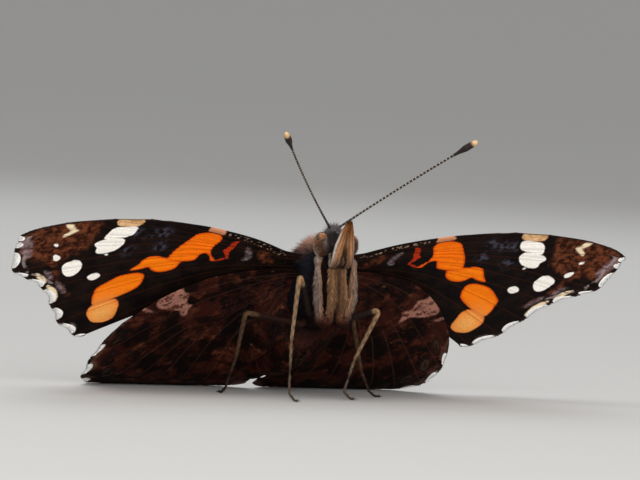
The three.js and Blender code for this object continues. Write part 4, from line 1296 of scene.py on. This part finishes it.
def fringe(name, side, kind, seed):
    """The row of long scales round the margin, white in pieces between the veins and dark elsewhere."""
    draw = np.random.default_rng(seed)
    count = FRINGE_SCALES
    row = np.sort(draw.uniform(kind["fringed"][0], len(kind["lines"]) - 1.01, count))
    place = wing_stations(kind, row, np.linspace(0.9, 1, 12), kind["fringed"])
    inner, edge = (kind["place"](*place[:, k].T) for k in (9, 11))
    out = sheet_normal(kind, *place[:, 11].T)
    aims = unit(edge - inner)
    aims = aims + np.cross(out, aims) * draw.normal(0, 0.12, (count, 1))
    aims = unit(aims + out * draw.normal(0, 0.08, (count, 1)))
    root = edge - 0.14 * aims + out * draw.uniform(-0.075, 0.075, (count, 1))
    white = np.zeros(count)
    for middle, half in kind["white"]:
        white = np.maximum(white, np.abs(row + draw.normal(0, 0.02, count) - middle) < half)
    colours = mixed(white, (0.02, 0.012, 0.009), (0.93, 0.92, 0.9)) * draw.uniform(0.85, 1.05, (count, 1))
    lengths = FRINGE * soft_step(row, *kind["fringed"]) * draw.uniform(0.8, 1.0, count)
    lengths = lengths * (0.8 + 0.2 * white) + 0.1
    unwrap = np.column_stack([0.5 + 0.45 * np.cos(row), 0.02 + 0.96 * row / len(kind["lines"])])
    return tufts(name, root, aims, out, lengths, 0.042, 0, unwrap, colours, fringe_paint, side)


def both_wings(name, kind, seed, *hairs):
    """Both wings of a kind, each with its membrane, its fringe and its hair."""
    for hand, side in (("left", 1), ("right", -1)):
        membrane = wing(f"{name}_{hand}_membrane", side, kind)
        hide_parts(f"{name}_{hand}")
        pieces = [membrane, fringe(f"{name}_{hand}_fringe", side, kind, seed)]
        pieces += [wing_hair(f"{name}_{hand}_{part}", side, kind, *growth) for part, *growth in hairs]


forewing = {
    "lines": forewing_lines, "cell": (3, 9), "fringed": (3.2, 4.2), "white": forewing_white, "rests": False,
    "place": forewing_place, "marks": forewing_marks,
    "faces": (wing_paint("forewing upper side", forewing_over),
              wing_paint("forewing underside", forewing_under)),
}
both_wings("forewing", forewing, 41,
           ("hair", (1, 11.9), (0.0, 0.3), 3000, 43, 1, 0.9, 16, (0.06, 0.032, 0.02)))

# Marks of the hindwing's underside.
costal_patch = [
    [(12.3, -6.4), (11.64, -5.32), (10.8, -4.3), (10.39, -4.1), (9.94, -4.72), (9.33, -4.99),
     (9.12, -6.16), (8.34, -6.72), (8.59, -7.17), (8.48, -8.2), (9.08, -8.07), (9.54, -7.49),
     (10.46, -7.36), (11.6, -7.2)],
    [(13.5, -7.1), (12.6, -7.3), (11.9, -7.75), (12.4, -7.85), (13.3, -7.5)],
    [(8.77, -2.34), (7.9, -1.86), (7.49, -2.57), (8.18, -2.46)],
]
hindwing_white = [(cell + 0.5, 0.3) for cell in range(1, 10)]
BORDER_INNER = 3.4
BORDER_OUTER = 0.55
EYESPOT_DEPTH = 2.3


def hindwing_marks(u, v, row):
    """Depth inside the pale patches, the scarlet border and its black dots, and soft tints."""
    rim, cell = margin_marks(u, v, row)
    reach = soft_step(row, 0.7, 2.4) * (1 - soft_step(row, 8.0, 8.9))
    border = np.minimum(rim - BORDER_OUTER, BORDER_INNER * reach[:, None] - rim)
    middle = np.floor(row)[:, None] + 0.5
    spot_distance = np.hypot(rim - EYESPOT_DEPTH, cell)
    dotted = (middle > 2) & (middle < 7)
    corner = np.hypot((rim - 1.5) / 0.8, (row - 8.35)[:, None] * 2.2)
    return {
        "patch": depth_in(costal_patch, u, v),
        "border": border,
        "dot": np.where(dotted, 0.5 - spot_distance, -1),
        "corner": 1 - corner,
        "ocellus": np.where((middle > 1) & (middle < 8), spot_distance, 3),
        "margin": rim,
        "pearl": pearls(row, rim, hindwing_white),
        "base": 1 - np.hypot(0.9 * u, 0.55 * v) / 10,
    }


def hindwing_under(paint):
    """Maroon-brown marbled with black and with bronze flecks that are also painted glints, with a pinkish
    patch and dim eyespots by the margin.
    """
    cloud = paint.noise(2.6, 5, 0.65)
    paint.colour = paint.blend(cloud.between(0.42, 0.6), (0.005, 0.0018, 0.0014), (0.032, 0.007, 0.004))
    marble = paint.noise(1.5, 5, 0.7)
    paint.layer(marble.between(0.52, 0.6) * cloud.between(0.4, 0.55), (0.062, 0.016, 0.008))
    # Bronze flecks in the marbling, which also serve as painted glints of light on the scales.
    paint.layer(marble.between(0.62, 0.7) * 0.6, (0.17, 0.055, 0.028))
    paint.layer(paint.noise(1.9, 4, 0.6).between(0.54, 0.6) * 0.85, (0.003, 0.002, 0.002))
    ring = paint.attribute("ocellus") + (paint.noise(0.6, 3) - 0.5) * 0.8
    paint.layer((1 - ring.between(0.8, 1.2)) * 0.7, (0.006, 0.004, 0.004))
    veiled = marble.between(0.4, 0.6)
    iris = (1 - ring.between(0.6, 0.8)) * ring.between(0.2, 0.45)
    paint.layer(iris * veiled * 0.4, (0.075, 0.05, 0.03))
    rim = 1 - paint.attribute("margin").between(0.5, 1.3)
    paint.layer(rim * veiled * 0.7, (0.12, 0.06, 0.04))
    ragged = (paint.noise(0.3, 4, 0.7) - 0.5) * 0.7
    speck = paint.noise(0.6, 4, 0.7).between(0.49, 0.6)
    patch = paint.blend(speck, (0.33, 0.15, 0.11), (0.08, 0.025, 0.018))
    paint.layer(paint.mark("patch", ragged, -0.08, 0.15), patch)
    paint.layer((1 - paint.attribute("vein").between(0.03, 0.14)) * 0.4, (0.05, 0.022, 0.014))
    paint.layer(paint.mark("pearl", ragged * 0.1, -0.04, 0.06), (0.88, 0.86, 0.83))


def hindwing_over(paint):
    """Brown-black with a scarlet border that holds black dots, and a blue spot at the rear corner."""
    ragged = (paint.noise(0.22, 3) - 0.5) * 0.3
    cloud = paint.noise(1.8, 4, 0.6)
    paint.colour = paint.blend(cloud.between(0.35, 0.75), (0.006, 0.004, 0.0035), (0.015, 0.009, 0.007))
    paint.layer(paint.mark("base", (cloud - 0.5) * 0.5, -0.1, 0.8), (0.055, 0.024, 0.013))
    border = paint.attribute("border") + ragged
    red = paint.blend(border.between(0.0, 0.5), (0.5, 0.04, 0.005), (0.84, 0.11, 0.01))
    paint.layer(border.between(-0.08, 0.12), uneven(paint, red))
    paint.layer(paint.mark("dot", ragged * 0.4, -0.05, 0.08), (0.008, 0.005, 0.005))
    corner = paint.attribute("corner") + ragged
    paint.layer(corner.between(-0.05, 0.1), (0.01, 0.006, 0.008))
    paint.layer(corner.between(0.3, 0.5), (0.09, 0.14, 0.42))
    paint.layer((1 - paint.attribute("margin").between(0.35, 0.6)) * 0.9, (0.02, 0.012, 0.01))
    paint.layer((1 - paint.attribute("vein").between(0.04, 0.14)) * 0.6, (0.012, 0.007, 0.006))


hindwing = {
    "lines": hindwing_lines, "cell": (2, 6), "fringed": (0.4, 1.4), "white": hindwing_white, "rests": True,
    "place": hindwing_place, "marks": hindwing_marks,
    "faces": (wing_paint("hindwing upper side", hindwing_over),
              wing_paint("hindwing underside", hindwing_under, 0.8)),
}
both_wings("hindwing", hindwing, 47,
           ("hair", (6, 11.95), (0.05, 0.75), 6000, 53, 1, 1.1, 18, (0.075, 0.04, 0.024)),
           ("underhair", (1, 11.95), (0.03, 0.35), 2500, 59, -1, 0.8, 12, (0.03, 0.013, 0.01)))
